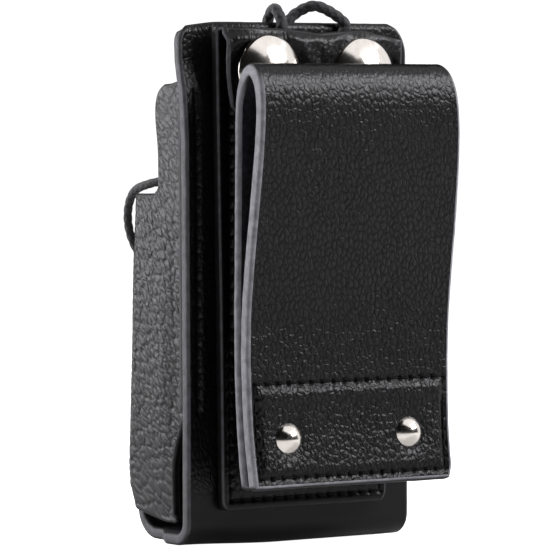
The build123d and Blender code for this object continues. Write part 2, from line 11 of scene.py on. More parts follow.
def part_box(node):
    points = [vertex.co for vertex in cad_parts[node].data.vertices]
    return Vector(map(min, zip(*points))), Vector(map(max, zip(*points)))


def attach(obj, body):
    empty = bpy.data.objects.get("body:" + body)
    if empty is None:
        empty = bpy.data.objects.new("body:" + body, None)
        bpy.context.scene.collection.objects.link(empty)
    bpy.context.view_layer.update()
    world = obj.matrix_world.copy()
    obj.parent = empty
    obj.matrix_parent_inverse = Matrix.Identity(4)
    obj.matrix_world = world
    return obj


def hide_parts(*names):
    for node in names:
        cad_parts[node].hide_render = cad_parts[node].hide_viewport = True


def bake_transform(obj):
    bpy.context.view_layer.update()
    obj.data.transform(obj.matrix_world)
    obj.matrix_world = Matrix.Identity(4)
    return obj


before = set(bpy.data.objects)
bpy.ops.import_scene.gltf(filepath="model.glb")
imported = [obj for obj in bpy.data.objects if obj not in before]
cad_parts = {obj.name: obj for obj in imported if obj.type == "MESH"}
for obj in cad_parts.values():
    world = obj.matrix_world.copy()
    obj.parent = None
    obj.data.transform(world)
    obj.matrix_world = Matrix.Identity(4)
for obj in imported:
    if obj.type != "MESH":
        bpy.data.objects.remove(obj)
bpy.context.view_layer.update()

MM = 0.001

# ---------------------------------------------------------------- sizes, from the frame (mm)


def box(node):
    """Low and high corner of a CAD node in mm."""
    low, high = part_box(node)
    return np.array(low) / MM, np.array(high) / MM


STRAP_LOW, STRAP_HIGH = box("back_strap")
WRAP_LOW, WRAP_HIGH = box("front_wrap")
BACKING_LOW, BACKING_HIGH = box("backing_panel")
YOKE_LOW, YOKE_HIGH = box("yoke_tab")
PACK_LOW, PACK_HIGH = box("loop_packing")
INNER_HIGH = box("belt_loop_inner_leaf")[1]
OUTER_LOW, OUTER_HIGH = box("belt_loop_outer_leaf")
SNAP_LOW, SNAP_HIGH = box("snap_caps")
RIVET_LOW, RIVET_HIGH = box("rivet_caps")
POCKET_LOW, POCKET_HIGH = box("cord_pocket_run")
LOOPS_LOW, LOOPS_HIGH = box("cord_top_loops")

PANEL_T = 3.0            # leather of the back strap
PANEL_HALF = STRAP_HIGH[0]
PANEL_Y = STRAP_HIGH[1]
PANEL_TOP = STRAP_HIGH[2]
FOLD_Z = INNER_HIGH[2]
LOOP_X = (OUTER_LOW[0] + OUTER_HIGH[0]) / 2
LOOP_FOOT_Z = OUTER_LOW[2]
SNAP_R = (SNAP_HIGH[2] - SNAP_LOW[2]) / 2
SNAP_Z = (SNAP_HIGH[2] + SNAP_LOW[2]) / 2
SNAP_XS = (SNAP_LOW[0] + SNAP_R, SNAP_HIGH[0] - SNAP_R)
RIVET_R = (RIVET_HIGH[2] - RIVET_LOW[2]) / 2
RIVET_Z = (RIVET_HIGH[2] + RIVET_LOW[2]) / 2
RIVET_XS = (RIVET_LOW[0] + RIVET_R, RIVET_HIGH[0] - RIVET_R)
SHELF_Z = 89.8           # where the side walls step down
WING_FRONT_Y = -5.8      # how far forward the tall part of a side wall reaches

GRAIN_MAP = 0.01         # grain cells to map units
GRAIN = (1.45, 1.35, 0.12)       # cell size, stretch along the piece, and lean
WALL_GRAIN = (2.1, 1.25, -0.75)

# ---------------------------------------------------------------- smooth noise and leather grain


def fade(t):
    """Smooth step, from 0 at t = 0 to 1 at t = 1."""
    t = np.clip(t, 0.0, 1.0)
    return t * t * (3 - 2 * t)


def hashed(ix, iy, seed):
    """A repeatable number from 0 to 1 for each cell of a square lattice."""
    n = (ix * 374761393 + iy * 668265263 + seed * 1442695041) & 0x7FFFFFFF
    n = ((n ^ (n >> 13)) * 1274126177) & 0x7FFFFFFF
    return ((n ^ (n >> 16)) & 0xFFFFF) / 0xFFFFF


def noise(x, y, seed):
    """Value noise from -1 to 1 with features about one unit wide."""
    ix, iy = np.floor(x).astype(np.int64), np.floor(y).astype(np.int64)
    fx, fy = fade(x - ix), fade(y - iy)
    low = hashed(ix, iy, seed) * (1 - fx) + hashed(ix + 1, iy, seed) * fx
    high = hashed(ix, iy + 1, seed) * (1 - fx) + hashed(ix + 1, iy + 1, seed) * fx
    return 2 * (low * (1 - fy) + high * fy) - 1


def crease_distance(x, y, seed):
    """Distance to the border between scattered cells, one to a unit square, and to the nearest centre."""
    around = np.arange(9).reshape((9,) + (1,) * x.ndim)
    cx = np.floor(x).astype(np.int64) + around // 3 - 1
    cy = np.floor(y).astype(np.int64) + around % 3 - 1
    px = cx + 0.10 + 0.80 * hashed(cx, cy, seed)
    py = cy + 0.10 + 0.80 * hashed(cx, cy, seed + 17)
    centres = np.stack([np.hypot(px - x, py - y), px, py])
    order = np.argsort(centres[0], axis=0, kind="stable")[:2]
    (near, second), (x0, x1), (y0, y1) = (np.take_along_axis(c, order, axis=0) for c in centres)
    return (second**2 - near**2) / (2 * np.maximum(np.hypot(x0 - x1, y0 - y1), 1e-6)), near


def pebble(u, v, size, seed, stretch, lean, width):
    """From 0 along the creases to 1 on the flat tops of the pebbles; width is in mm."""
    across = (u + lean * v) / size
    along = v / (size * stretch)
    across = across + 0.25 * noise(across * 0.9, along * 0.9, seed + 3)
    along = along + 0.25 * noise(across * 0.9 + 40, along * 0.9, seed + 5)
    gap, near = crease_distance(across, along, seed)
    return fade(gap * size / width) * (1 - 0.22 * near**2)


def grain(u, v, seed, weave=GRAIN):
    """Leather relief in mm: flat pebbles between creases, with calmer and livelier patches."""
    size, stretch, lean = weave
    large = pebble(u, v, size * 1.2, seed, stretch, lean, 0.6)
    lively = 0.75 + 0.45 * noise(u / 11, v / 11, seed + 50)
    roll = 0.05 * noise(u / 5.5, v / 7.5, seed + 60)
    return lively * 0.11 * (large - 1) + roll


def everywhere(u, v):
    """Full grain on the whole of a piece."""
    return np.ones(np.shape(u))


# ---------------------------------------------------------------- mesh tools


def vertex_normals(points, quads):
    """Unit normals at the points of a mesh of quads."""
    a, b, c, d = (points[quads[:, k]] for k in range(4))
    face = np.cross(c - a, d - b)
    total = np.zeros_like(points)
    for k in range(4):
        np.add.at(total, quads[:, k], face)
    return total / np.maximum(np.linalg.norm(total, axis=1, keepdims=True), 1e-12)


def boundary_loops(quads):
    """Closed chains of vertices along the open edges, the surface lying to their left."""
    a = quads.ravel()
    b = np.roll(quads, -1, axis=1).ravel()
    edges = set(zip(a.tolist(), b.tolist()))
    following = {p: q for p, q in edges if (q, p) not in edges}
    loops = []
    while following:
        start = next(iter(following))
        loop = [start]
        step = following.pop(start)
        while step != start:
            loop.append(step)
            step = following.pop(step)
        loops.append(np.array(loop))
    return loops


def mesh_object(name, points_mm, faces, materials, face_material=None, uv=None, weave=None, calm=None):
    """A smooth-shaded object; weave is the size, stretch and lean of its grain."""
    mesh = bpy.data.meshes.new(name)
    mesh.from_pydata((np.asarray(points_mm) * MM).tolist(), [], [tuple(f) for f in faces])
    for material in materials:
        mesh.materials.append(material)
    if face_material is not None:
        mesh.polygons.foreach_set("material_index", np.asarray(face_material, np.int32))
    mesh.polygons.foreach_set("use_smooth", np.ones(len(mesh.polygons), bool))
    if uv is not None:
        size, stretch, lean = weave
        cell = np.stack([(uv[:, 0] + lean * uv[:, 1]) / size, uv[:, 1] / (size * stretch)], axis=1)
        layer = mesh.uv_layers.new(name="grain")
        corner = np.empty(len(mesh.loops), np.int32)
        mesh.loops.foreach_get("vertex_index", corner)
        layer.data.foreach_set("uv", (cell[corner] * GRAIN_MAP).astype(np.float32).ravel())
        pebbled = mesh.attributes.new("pebbled", "FLOAT", "POINT")
        pebbled.data.foreach_set("value", calm(uv[:, 0], uv[:, 1]).astype(np.float32))
    mesh.validate()
    mesh.update()
    obj = bpy.data.objects.new(name, mesh)
    bpy.context.scene.collection.objects.link(obj)
    return obj


RIM_HIGHLIGHT_TURNS = (1, 2)      # bands of a rounded edge that can take a painted highlight line of their own colour
EDGE_TURNS = (0.35, 0.75, 1.15, math.pi / 2)     # angles at which a rounded edge is cut


def sheet_mesh(points, uv, quads, thickness, relief, edge_r=0.75):
    """A sheet of leather from its outer face: relief on top, rounded edges, plain inner face.

    Returns points, faces, a material number for each face (0 grain, 1 cut edge, 2 inner face,
    3 outer corner of the edge, which can carry a painted highlight) and the map coordinates of each point.
    """
    normals = vertex_normals(points, quads)
    loops = boundary_loops(quads)
    edge_distance = np.full(len(points), 9.0)
    rim = np.concatenate(loops)
    for chunk in np.array_split(rim, max(1, len(rim) // 400)):
        middle = points[chunk].mean(axis=0)
        reach = np.linalg.norm(points[chunk] - middle, axis=1).max() + 2.0
        close = np.nonzero(np.linalg.norm(points - middle, axis=1) < reach)[0]
        for part in np.array_split(close, max(1, len(close) // 4000)):
            gap = np.linalg.norm(points[part][:, None] - points[chunk][None], axis=2).min(axis=1)
            edge_distance[part] = np.minimum(edge_distance[part], gap)
    lift = relief(uv[:, 0], uv[:, 1]) * fade(0.12 + edge_distance / 1.1)
    outer = points + normals * lift[:, None]
    thickness = np.broadcast_to(np.asarray(thickness, float), (len(points),))[:, None]
    inner = points - normals * thickness
    inner += normals * (0.05 * noise(uv[:, 0] / 0.9, uv[:, 1] / 0.9, 7))[:, None]
    count = len(points)
    all_points = [outer, inner]
    all_uv = [uv, uv]
    faces = [quads, quads[:, ::-1] + count]
    kinds = [np.zeros(len(quads), int), np.full(len(quads), 2)]
    used = 2 * count
    for loop in loops:
        ahead, behind = points[np.roll(loop, -1)], points[np.roll(loop, 1)]
        tangent = ahead - behind
        outward = np.cross(tangent, normals[loop])
        outward /= np.maximum(np.linalg.norm(outward, axis=1, keepdims=True), 1e-9)
        rings = [loop]
        full = thickness[loop]
        r = min(edge_r, full.min() * 0.48)
        wear = 0.05 * noise(uv[loop, 0] / 2.2, uv[loop, 1] / 2.2, 91)[:, None]
        steps = [(math.sin(a), r * (1 - math.cos(a))) for a in EDGE_TURNS]
        steps += [(1.0, full / 2)]
        steps += [(math.sin(a), full - r * (1 - math.cos(a))) for a in reversed(EDGE_TURNS)]
        for reach, depth in steps:
            ring = points[loop] + outward * (r + wear) * reach - normals[loop] * depth
            all_points.append(ring)
            all_uv.append(uv[loop])
            rings.append(np.arange(used, used + len(loop)))
            used += len(loop)
        rings.append(loop + count)
        for turn, (upper, lower) in enumerate(zip(rings[:-1], rings[1:])):
            band = np.stack([upper, lower, np.roll(lower, -1), np.roll(upper, -1)], axis=1)
            faces.append(band)
            # kind 3 marks the outer corner bands, which some pieces paint lighter as a painted highlight line
            kinds.append(np.full(len(band), 3 if turn in RIM_HIGHLIGHT_TURNS else 1))
    return np.concatenate(all_points), np.concatenate(faces), np.concatenate(kinds), np.concatenate(all_uv)


def grid_quads(rows, columns):
    """Faces of a rows by columns grid, numbered row by row."""
    r, c = np.meshgrid(np.arange(rows - 1), np.arange(columns - 1), indexing="ij")
    first = r * columns + c
    return np.stack([first, first + 1, first + columns + 1, first + columns], axis=-1).reshape(-1, 4)


def facing(points, quads, place, beyond, toward):
    """Turns all faces over if those where place is beyond a limit look away from a direction."""
    judged = quads[(place[quads] > beyond).all(axis=1)]
    a, b, c, d = (points[judged[:, k]] for k in range(4))
    if (np.cross(c - a, d - b) @ np.array(toward, float)).sum() < 0:
        return quads[:, ::-1]
    return quads


def smooth_path(corners, spacing, soften):
    """Evenly spaced points along a polyline whose corners are eased over a length in mm."""
    corners = np.array(corners, float)
    leg = np.r_[0, np.cumsum(np.linalg.norm(np.diff(corners, axis=0), axis=1))]
    fine = np.linspace(0, leg[-1], int(leg[-1] / 0.1) + 2)
    line = np.stack([np.interp(fine, leg, corners[:, k]) for k in range(corners.shape[1])], axis=1)
    width = max(3, int(soften / 0.1) | 1)
    kernel = np.hanning(width + 2)[1:-1]
    kernel /= kernel.sum()
    pad = width // 2
    for k in range(line.shape[1]):
        low = 2 * line[0, k] - line[pad:0:-1, k]
        high = 2 * line[-1, k] - line[-2:-pad - 2:-1, k]
        line[:, k] = np.convolve(np.r_[low, line[:, k], high], kernel, "valid")
    run = np.r_[0, np.cumsum(np.linalg.norm(np.diff(line, axis=0), axis=1))]
    even = np.linspace(0, run[-1], max(3, int(round(run[-1] / spacing)) + 1))
    return np.stack([np.interp(even, run, line[:, k]) for k in range(line.shape[1])], axis=1), even


# ---------------------------------------------------------------- materials


class Shading:
    """A node material in the making: nodes are added to it and fed to its shader."""

    def __init__(self, name):
        self.material = bpy.data.materials.new(name)
        self.material.use_nodes = True
        self.tree = self.material.node_tree
        self.coordinate = self.node("TexCoord")
        self.place = self.coordinate.outputs["Object"]

    def feed(self, node, inputs):
        """Gives each named input a value, or links it to an output of another node."""
        for name, value in inputs.items():
            if isinstance(value, bpy.types.NodeSocket):
                self.tree.links.new(value, node.inputs[name])
            else:
                node.inputs[name].default_value = value

    def node(self, kind, inputs=None, **settings):
        node = self.tree.nodes.new("ShaderNode" + kind)
        for name, value in settings.items():
            setattr(node, name, value)
        self.feed(node, inputs or {})
        return node

    def noise(self, scale, detail=4.0, place=None, output="Fac"):
        inputs = {"Scale": scale, "Detail": detail, "Vector": place or self.place}
        return self.node("TexNoise", inputs).outputs[output]

    def math(self, operation, first, second):
        return self.node("Math", {0: first, 1: second}, operation=operation).outputs["Value"]

    def remap(self, value, low, high):
        """A value from 0 to 1, carried over to a range of its own."""
        return self.node("MapRange", {"Value": value, "To Min": low, "To Max": high}).outputs["Result"]

    def ramp(self, value, low, low_color, high, high_color):
        node = self.node("ValToRGB", {"Fac": value})
        ends = ((low, low_color), (high, high_color))
        for element, (position, color) in zip(node.color_ramp.elements, ends):
            element.position = position
            element.color = color
        return node.outputs["Color"]

    def finish(self, inputs, height=None, strength=0.5, distance=0.0001):
        """Feeds the shader, with a bump of the given height in metres, and returns the material."""
        shader = self.tree.nodes["Principled BSDF"]
        self.feed(shader, inputs)
        if height:
            bump = self.node("Bump", {"Strength": strength, "Distance": distance, "Height": height})
            self.feed(shader, {"Normal": bump.outputs["Normal"]})
        return self.material


def gray(value, tint=0.0):
    return (value, value, value * (1 + tint), 1)


def pebbles(shading, place, scale, width):
    """Two fields of one pattern: flat tops between creases, and the round shape of each pebble."""
    bend = shading.noise(scale * 0.8, 2, place, "Color")
    reach = 0.9 / scale
    shift = shading.node("VectorMath", {0: bend, 1: (reach, reach, 0), 2: place}, operation="MULTIPLY_ADD")
    pattern = {"Scale": scale, "Vector": shift.outputs["Vector"]}
    edge = shading.node("TexVoronoi", pattern, feature="DISTANCE_TO_EDGE", voronoi_dimensions="2D")
    flat = shading.node("MapRange", {"Value": edge.outputs["Distance"], "From Max": width},
                        interpolation_type="SMOOTHSTEP")
    pattern["Smoothness"] = 0.25
    dome = shading.node("TexVoronoi", pattern, feature="SMOOTH_F1", voronoi_dimensions="2D")
    return flat.outputs["Result"], shading.math("SUBTRACT", 1.0, dome.outputs["Distance"])


def leather_material():
    """Black grained leather: flat glossy pebbles, dull dark creases, pores and fine wrinkles."""
    shading = Shading("black_grained_leather")
    grain_map = shading.node("UVMap", uv_map="grain").outputs["UV"]
    strength = shading.node("Attribute", attribute_name="pebbled").outputs["Fac"]
    big, round_top = pebbles(shading, grain_map, 1.0 / GRAIN_MAP, 0.30)
    small = pebbles(shading, grain_map, 1.9 / GRAIN_MAP, 0.32)[0]
    patchy = shading.math("MULTIPLY", shading.math("MULTIPLY", small, 0.42), shading.noise(260, 2))
    height = shading.math("ADD", shading.math("MULTIPLY", big, 0.6), patchy)
    height = shading.math("ADD", height, shading.math("MULTIPLY", round_top, 0.7))
    height = shading.math("MULTIPLY", height, strength)
    height = shading.math("ADD", height, shading.math("MULTIPLY", shading.noise(4200, 4), 0.22))
    crease = shading.math("MULTIPLY", strength, shading.math("SUBTRACT", 1.0, big))
    return shading.finish({
        "Base Color": shading.ramp(shading.noise(60), 0.3, gray(0.0018, 0.10), 0.75, gray(0.0036, 0.06)),
        "Roughness": shading.remap(shading.noise(900, 3), 0.26, 0.38),
        "Specular IOR Level": shading.remap(shading.math("SUBTRACT", 1.0, crease), 0.17, 0.27),
    }, height, strength=1.0)


def edge_material(name, dark, light):
    """Painted cut edge in a grey that varies at random, with painted shade: darkened toward black where the
    edge faces up or down.
    """
    shading = Shading(name)
    paint = shading.ramp(shading.noise(420, 5), 0.3, gray(dark, 0.08), 0.72, gray(light, 0.08))
    normal = shading.node("SeparateXYZ", {"Vector": shading.coordinate.outputs["Normal"]})
    # painted shade: how far the edge faces up or down sets how far its paint is darkened toward black
    level = shading.math("ABSOLUTE", normal.outputs["Z"], 0.0)
    painted_shade = shading.node("MapRange", {"Value": level, "From Min": 0.20, "From Max": 0.55})
    mix = {"Factor": painted_shade.outputs["Result"], "A": paint, "B": gray(0.010)}
    tone = shading.node("Mix", mix, data_type="RGBA").outputs["Result"]
    return shading.finish({"Base Color": tone, "Roughness": 0.52, "Specular IOR Level": 0.35},
                          shading.noise(2600, 4), distance=0.00015)


def flesh_material():
    """Inner suede side of the leather."""
    shading = Shading("leather_flesh_side")
    tone = shading.ramp(shading.noise(700, 6), 0.25, gray(0.012, 0.2), 0.8, gray(0.040, 0.14))
    return shading.finish({"Base Color": tone, "Roughness": 0.95, "Specular IOR Level": 0.15},
                          shading.noise(3800, 5), strength=0.8, distance=0.0002)


def nickel_material():
    """Bright nickel with faint swirls and handling marks."""
    shading = Shading("polished_nickel")
    smear = shading.noise(500, 5)
    tone = shading.ramp(smear, 0.3, (0.76, 0.71, 0.64, 1), 0.8, (0.88, 0.84, 0.78, 1))
    gloss = shading.remap(smear, 0.14, 0.22)
    return shading.finish({"Base Color": tone, "Roughness": gloss, "Metallic": 1.0})


def cord_material():
    """Black braided elastic: matt yarn with a slight sheen on each plait."""
    shading = Shading("braided_elastic")
    yarn = shading.noise(2400, 4)
    tone = shading.ramp(yarn, 0.3, gray(0.012, 0.08), 0.8, gray(0.055, 0.06))
    return shading.finish({"Base Color": tone, "Roughness": 0.72, "Sheen Weight": 0.25}, yarn)


def thread_material():
    """Waxed black sewing thread, twisted."""
    shading = Shading("waxed_thread")
    twist = shading.node("TexWave", {"Scale": 900, "Distortion": 1.5, "Vector": shading.place},
                         bands_direction="DIAGONAL").outputs["Fac"]
    tone = shading.ramp(twist, 0.2, gray(0.003), 0.9, gray(0.009))
    return shading.finish({"Base Color": tone, "Roughness": 0.75, "Specular IOR Level": 0.15}, twist,
                          strength=0.6)


LEATHER = leather_material()
# each edge material carries painted shade, darker where its edge faces up or down
LOOP_EDGE = edge_material("light_gray_painted_edge", 0.15, 0.30)
PANEL_EDGE = edge_material("gray_painted_edge", 0.050, 0.105)
BLACK_EDGE = edge_material("black_painted_edge", 0.004, 0.010)
FLESH = flesh_material()
NICKEL = nickel_material()
CORD = cord_material()
THREAD = thread_material()
LOOP_SKIN = [LEATHER, LOOP_EDGE, FLESH, LOOP_EDGE]
PANEL_SKIN = [LEATHER, PANEL_EDGE, FLESH, PANEL_EDGE]
SKIN = [LEATHER, BLACK_EDGE, FLESH, BLACK_EDGE]
# painted highlight: the outer corner of the backing panel's black edge gets the grey edge paint, a light line
# standing for light caught on its rim
RIM_HIGHLIGHT_SKIN = [LEATHER, BLACK_EDGE, FLESH, PANEL_EDGE]

# ---------------------------------------------------------------- paths and surfaces


def rounded_path(corners, radii, step=0.1):
    """Fine points along a polyline with an arc of the given radius at each inner corner."""
    corners = [np.array(c, float) for c in corners]
    line = [corners[0]]
    for before, corner, after, r in zip(corners[:-2], corners[1:-1], corners[2:], radii):
        a = (before - corner) / np.linalg.norm(before - corner)
        b = (after - corner) / np.linalg.norm(after - corner)
        half = math.acos(np.clip(a @ b, -1, 1)) / 2
        centre = corner + (a + b) / np.linalg.norm(a + b) * (r / math.sin(half))
        start, end = corner + a * r / math.tan(half), corner + b * r / math.tan(half)
        first = math.atan2(*(start - centre)[::-1])
        turn = math.atan2(*(end - centre)[::-1]) - first
        turn = (turn + math.pi) % (2 * math.pi) - math.pi
        for t in np.linspace(0, 1, max(4, int(r * abs(turn) / step))):
            angle = first + turn * t
            line.append(centre + r * np.array([math.cos(angle), math.sin(angle)]))
    line.append(corners[-1])
    line = np.array(line)
    run = np.r_[0, np.cumsum(np.linalg.norm(np.diff(line, axis=0), axis=1))]
    even = np.linspace(0, run[-1], int(run[-1] / step) + 1)
    return np.stack([np.interp(even, run, line[:, k]) for k in (0, 1)], axis=1), even


def along(path, v):
    """Position on a path at each run length."""
    line, run = path
    return [np.interp(v, run, line[:, k]) for k in range(line.shape[1])]


def run_at_height(path, z, late=False):
    """Run length at which a (y, z) path passes a height: its first or its last passing."""
    line, run = path
    crossing = np.nonzero(np.diff(np.sign(line[:, 1] - z)))[0]
    return run[crossing[-1 if late else 0]]


def span(v, low, high, spacing):
    """A grid over rows v whose ends are given for each row."""
    columns = int(math.ceil((high - low).max() / spacing)) + 1
    t = np.linspace(0, 1, columns)
    u = low[:, None] + (high - low)[:, None] * t
    return u, np.repeat(v[:, None], columns, axis=1)


def sewn(u, v, holes):
    """Distance from each point to the line of a seam, and to its nearest hole."""
    line = np.full(u.shape, 9.0)
    hole = np.full(u.shape, 9.0)
    for (u0, v0), (u1, v1) in zip(holes[:-1], holes[1:]):
        mu, mv = (u0 + u1) / 2, (v0 + v1) / 2
        near = np.nonzero((np.abs(u - mu) < 7) & (np.abs(v - mv) < 7))[0]
        du, dv = u1 - u0, v1 - v0
        t = np.clip(((u[near] - u0) * du + (v[near] - v0) * dv) / (du * du + dv * dv), 0, 1)
        gap = np.hypot(u[near] - u0 - t * du, v[near] - v0 - t * dv)
        line[near] = np.minimum(line[near], gap)
        for hu, hv in ((u0, v0), (u1, v1)):
            hole[near] = np.minimum(hole[near], np.hypot(u[near] - hu, v[near] - hv))
    return line, hole


def groove(u, v, holes, depth=0.26, pit=0.75):
    """The furrow that a tight seam pulls into the leather, deeper at each needle hole."""
    line, hole = sewn(u, v, holes)
    return -depth * np.exp(-((line / 0.75) ** 2)) - pit * np.exp(-((hole / 0.48) ** 2))


def seam(corners, pitch, closed=False):
    """Needle holes spaced evenly along each side of a seam."""
    corners = list(corners) + ([corners[0]] if closed else [])
    holes = []
    for a, b in zip(corners[:-1], corners[1:]):
        count = max(1, int(round(math.dist(a, b) / pitch)))
        holes += [(a[0] + (b[0] - a[0]) * k / count, a[1] + (b[1] - a[1]) * k / count)
                  for k in range(count)]
    return holes + [corners[-1]]


def surface_frame(surface, u, v):
    """Points of a surface with its unit normals."""
    step = 0.2
    here = surface(u, v)
    du = surface(u + step, v) - surface(u - step, v)
    dv = surface(u, v + step) - surface(u, v - step)
    normal = np.cross(du, dv)
    return here, normal / np.linalg.norm(normal, axis=1, keepdims=True)


def ring_faces(first, rings, sides, start_tip, end_tip):
    """Faces of a closed skin over rings of points, numbered ring by ring, with a tip at each end."""
    faces = []
    for j in range(sides):
        n = (j + 1) % sides
        faces += [(a + j, a + n, a + sides + n, a + sides + j)
                  for a in range(first, first + (rings - 1) * sides, sides)]
        last = first + (rings - 1) * sides
        faces += [(start_tip, first + n, first + j), (end_tip, last + j, last + n)]
    return faces


def merged(shapes):
    """Several pairs of points and faces as one pair."""
    points, faces, used = [], [], 0
    for shape_points, shape_faces in shapes:
        points.append(shape_points)
        faces += [tuple(i + used for i in face) for face in shape_faces]
        used += len(shape_points)
    return np.concatenate(points), faces


def tube(line, radius, sides, swell=None):
    """Points and faces of a closed tube along a line, with a blunt tip at each end."""
    line = np.array(line, float)
    tangent = np.gradient(line, axis=0)
    tangent /= np.linalg.norm(tangent, axis=1, keepdims=True)
    helper = np.array([1.0, 0.3, 0.2])
    across = np.cross(tangent[0], helper)
    across /= np.linalg.norm(across)
    angle = np.arange(sides) * 2 * math.pi / sides
    rings = []
    for k, (point, t) in enumerate(zip(line, tangent)):
        across = across - t * (across @ t)
        across /= np.linalg.norm(across)
        up = np.cross(t, across)
        r = radius[k] * (1 + (swell[k] if swell is not None else 0))
        rings.append(point + (np.cos(angle)[:, None] * across + np.sin(angle)[:, None] * up)
                     * np.reshape(r, (-1, 1)))
    points = np.concatenate(rings + [line[:1] - tangent[:1] * radius[0] * 0.4,
                                     line[-1:] + tangent[-1:] * radius[-1] * 0.4])
    tip = len(line) * sides
    return points, ring_faces(0, len(line), sides, tip, tip + 1)


THREAD_R = 0.25


def stitches(name, surface, holes, side, sink):
    """One short thread from each needle hole to the next, dipping into both holes."""
    holes = np.array(holes, float)
    a, b = holes[:-1], holes[1:]
    keep = np.linalg.norm(b - a, axis=1) > 0.5
    a, b = a[keep], b[keep]
    stations = np.array([0.10, 0.16, 0.28, 0.5, 0.72, 0.84, 0.90])
    depth = np.array([-0.55, -0.22, 0.02, 0.08, 0.02, -0.22, -0.55])
    width = np.array([0.75, 0.9, 1.0, 1.08, 1.0, 0.9, 0.75]) * THREAD_R
    threads = []
    for start, end in zip(a, b):
        uv = start + (end - start) * stations[:, None]
        here, normal = surface_frame(surface, uv[:, 0], uv[:, 1])
        threads.append(tube(here + normal * side * (depth - sink)[:, None], width, 8))
    return mesh_object(name, *merged(threads), [THREAD])


def leather_sheet(name, points, uv, quads, thickness, relief, edge_r=0.75, skin=SKIN, weave=GRAIN,
                  calm=everywhere):
    shape, faces, kinds, coordinates = sheet_mesh(points, uv, quads, thickness, relief, edge_r)
    return mesh_object(name, shape, faces, skin, kinds, coordinates, weave, calm)


# ---------------------------------------------------------------- belt loop

LOOP_T = 3.45            # leather of the fold and the outer leaf
INNER_LEAF_T = 2.3
LOOP_EDGE_R = 1.0
STITCH = 3.4             # pitch of every seam but the side seams
# the outer face of the strap in (y, z): up the inner leaf, over the fold and down the outer leaf
LOOP_SIDE = [
    (28.3, LOOP_FOOT_Z), (27.3, 22.0), (26.3, 31.0), (25.6, 44.0), (25.3, 60.0), (25.25, 80.0),
    (25.2, 100.0), (25.1, 108.0), (25.3, 113.7), (26.3, 117.9), (27.9, 121.0), (29.8, 122.6),
    (32.1, 123.1), (34.3, 122.4), (35.8, 120.8), (36.9, 118.0), (37.6, 114.0), (37.75, 110.0),
    (37.5, 105.0), (36.8, 98.0), (35.3, 87.0), (33.6, 75.0), (32.4, 65.0), (31.9, 58.0),
    (31.9, 48.0), (32.2, 40.0), (32.8, 31.0), (33.8, 24.0), (34.7, 19.0), (35.2, LOOP_FOOT_Z + 0.5),
]
LOOP_PATH = smooth_path(LOOP_SIDE, 0.1, 7.0)
LOOP_RUN = LOOP_PATH[1][-1]
FOLD_START = run_at_height(LOOP_PATH, FOLD_Z)
FOLD_END = run_at_height(LOOP_PATH, FOLD_Z, late=True)
FOLD_CREST = (FOLD_START + FOLD_END) / 2
PATCH_LOW_Z, PATCH_HIGH_Z = 19.0, 42.5
PATCH_LOW = run_at_height(LOOP_PATH, PATCH_LOW_Z, late=True)
PATCH_HIGH = run_at_height(LOOP_PATH, PATCH_HIGH_Z, late=True)


def loop_edges(v):
    """Left and right edge of the strap at each run length."""
    z = along(LOOP_PATH, v)[1]
    left = np.interp(z, [LOOP_FOOT_Z, 50.0, FOLD_Z], [28.8, 29.0, 28.0])
    right = np.interp(z, [LOOP_FOOT_Z + 0.8, 20.0, 35.0, 65.0, 80.0, 92.0, 105.0, FOLD_Z],
                      [-32.2, -33.4, -33.9, -34.8, -34.9, -34.6, -34.1, -33.2])
    return left, right + 2.0 * np.exp(-(((v - FOLD_CREST) / 6.0) ** 2))


def loop_surface(u, v):
    """Outer face of the strap: u across it, v along it."""
    y, z = along(LOOP_PATH, v)
    return np.stack([np.broadcast_to(u, np.shape(y)), y, z], axis=-1)


def patch_seam():
    """Rectangle of stitches around the snaps."""
    inset = 2.0
    left_low, right_low = loop_edges(np.array([PATCH_LOW]))
    left_high, right_high = loop_edges(np.array([PATCH_HIGH]))
    corners = [(left_low[0] - inset, PATCH_LOW), (right_low[0] + inset, PATCH_LOW),
               (right_high[0] + inset, PATCH_HIGH), (left_high[0] - inset, PATCH_HIGH)]
    return seam(corners, STITCH, closed=True)


def anchor_seam():
    """Rectangle of stitches that holds the inner leaf to the case."""
    low, high = run_at_height(LOOP_PATH, 70.0), run_at_height(LOOP_PATH, 101.0)
    return seam([(LOOP_X - 16.5, low), (LOOP_X + 16.5, low), (LOOP_X + 16.5, high), (LOOP_X - 16.5, high)],
                STITCH, closed=True)


def loop_calm(u, v):
    """The grain is stretched flatter where the strap folds over."""
    return 1 - 0.5 * np.exp(-(((v - FOLD_CREST - 3.0) / 11.0) ** 2))


def loop_relief(u, v):
    """Grain, the swelling above the stitched rectangle, its furrow, and dents under the snap caps."""
    lift = grain(u, v, 11) * loop_calm(u, v)
    left, right = loop_edges(v)
    inside = np.minimum(np.minimum(left - 2.0 - u, u - right - 2.0),
                        np.minimum(PATCH_LOW - v, v - PATCH_HIGH))
    puff = 0.45 * fade(inside / 2.6) + 0.35 * np.exp(-(((v - PATCH_HIGH - 3.2) / 2.0) ** 2))
    lift += np.where(inside > 0, puff, 0)
    lift += groove(u, v, patch_seam())
    for x in SNAP_XS:
        spot = np.hypot(u - x, v - (PATCH_LOW - (SNAP_Z - PATCH_LOW_Z)))
        lift -= 0.45 * np.exp(-((spot / (SNAP_R + 0.6)) ** 4))
    return lift


def loop_thickness(v):
    """The strap swells where it turns over into the outer leaf; the inner leaf is thinner."""
    swell = 0.5 * np.exp(-(((v - FOLD_END + 4.5) / 4.5) ** 2))
    return INNER_LEAF_T + (LOOP_T - INNER_LEAF_T) * fade((v - FOLD_START + 6.0) / 12.0) + swell


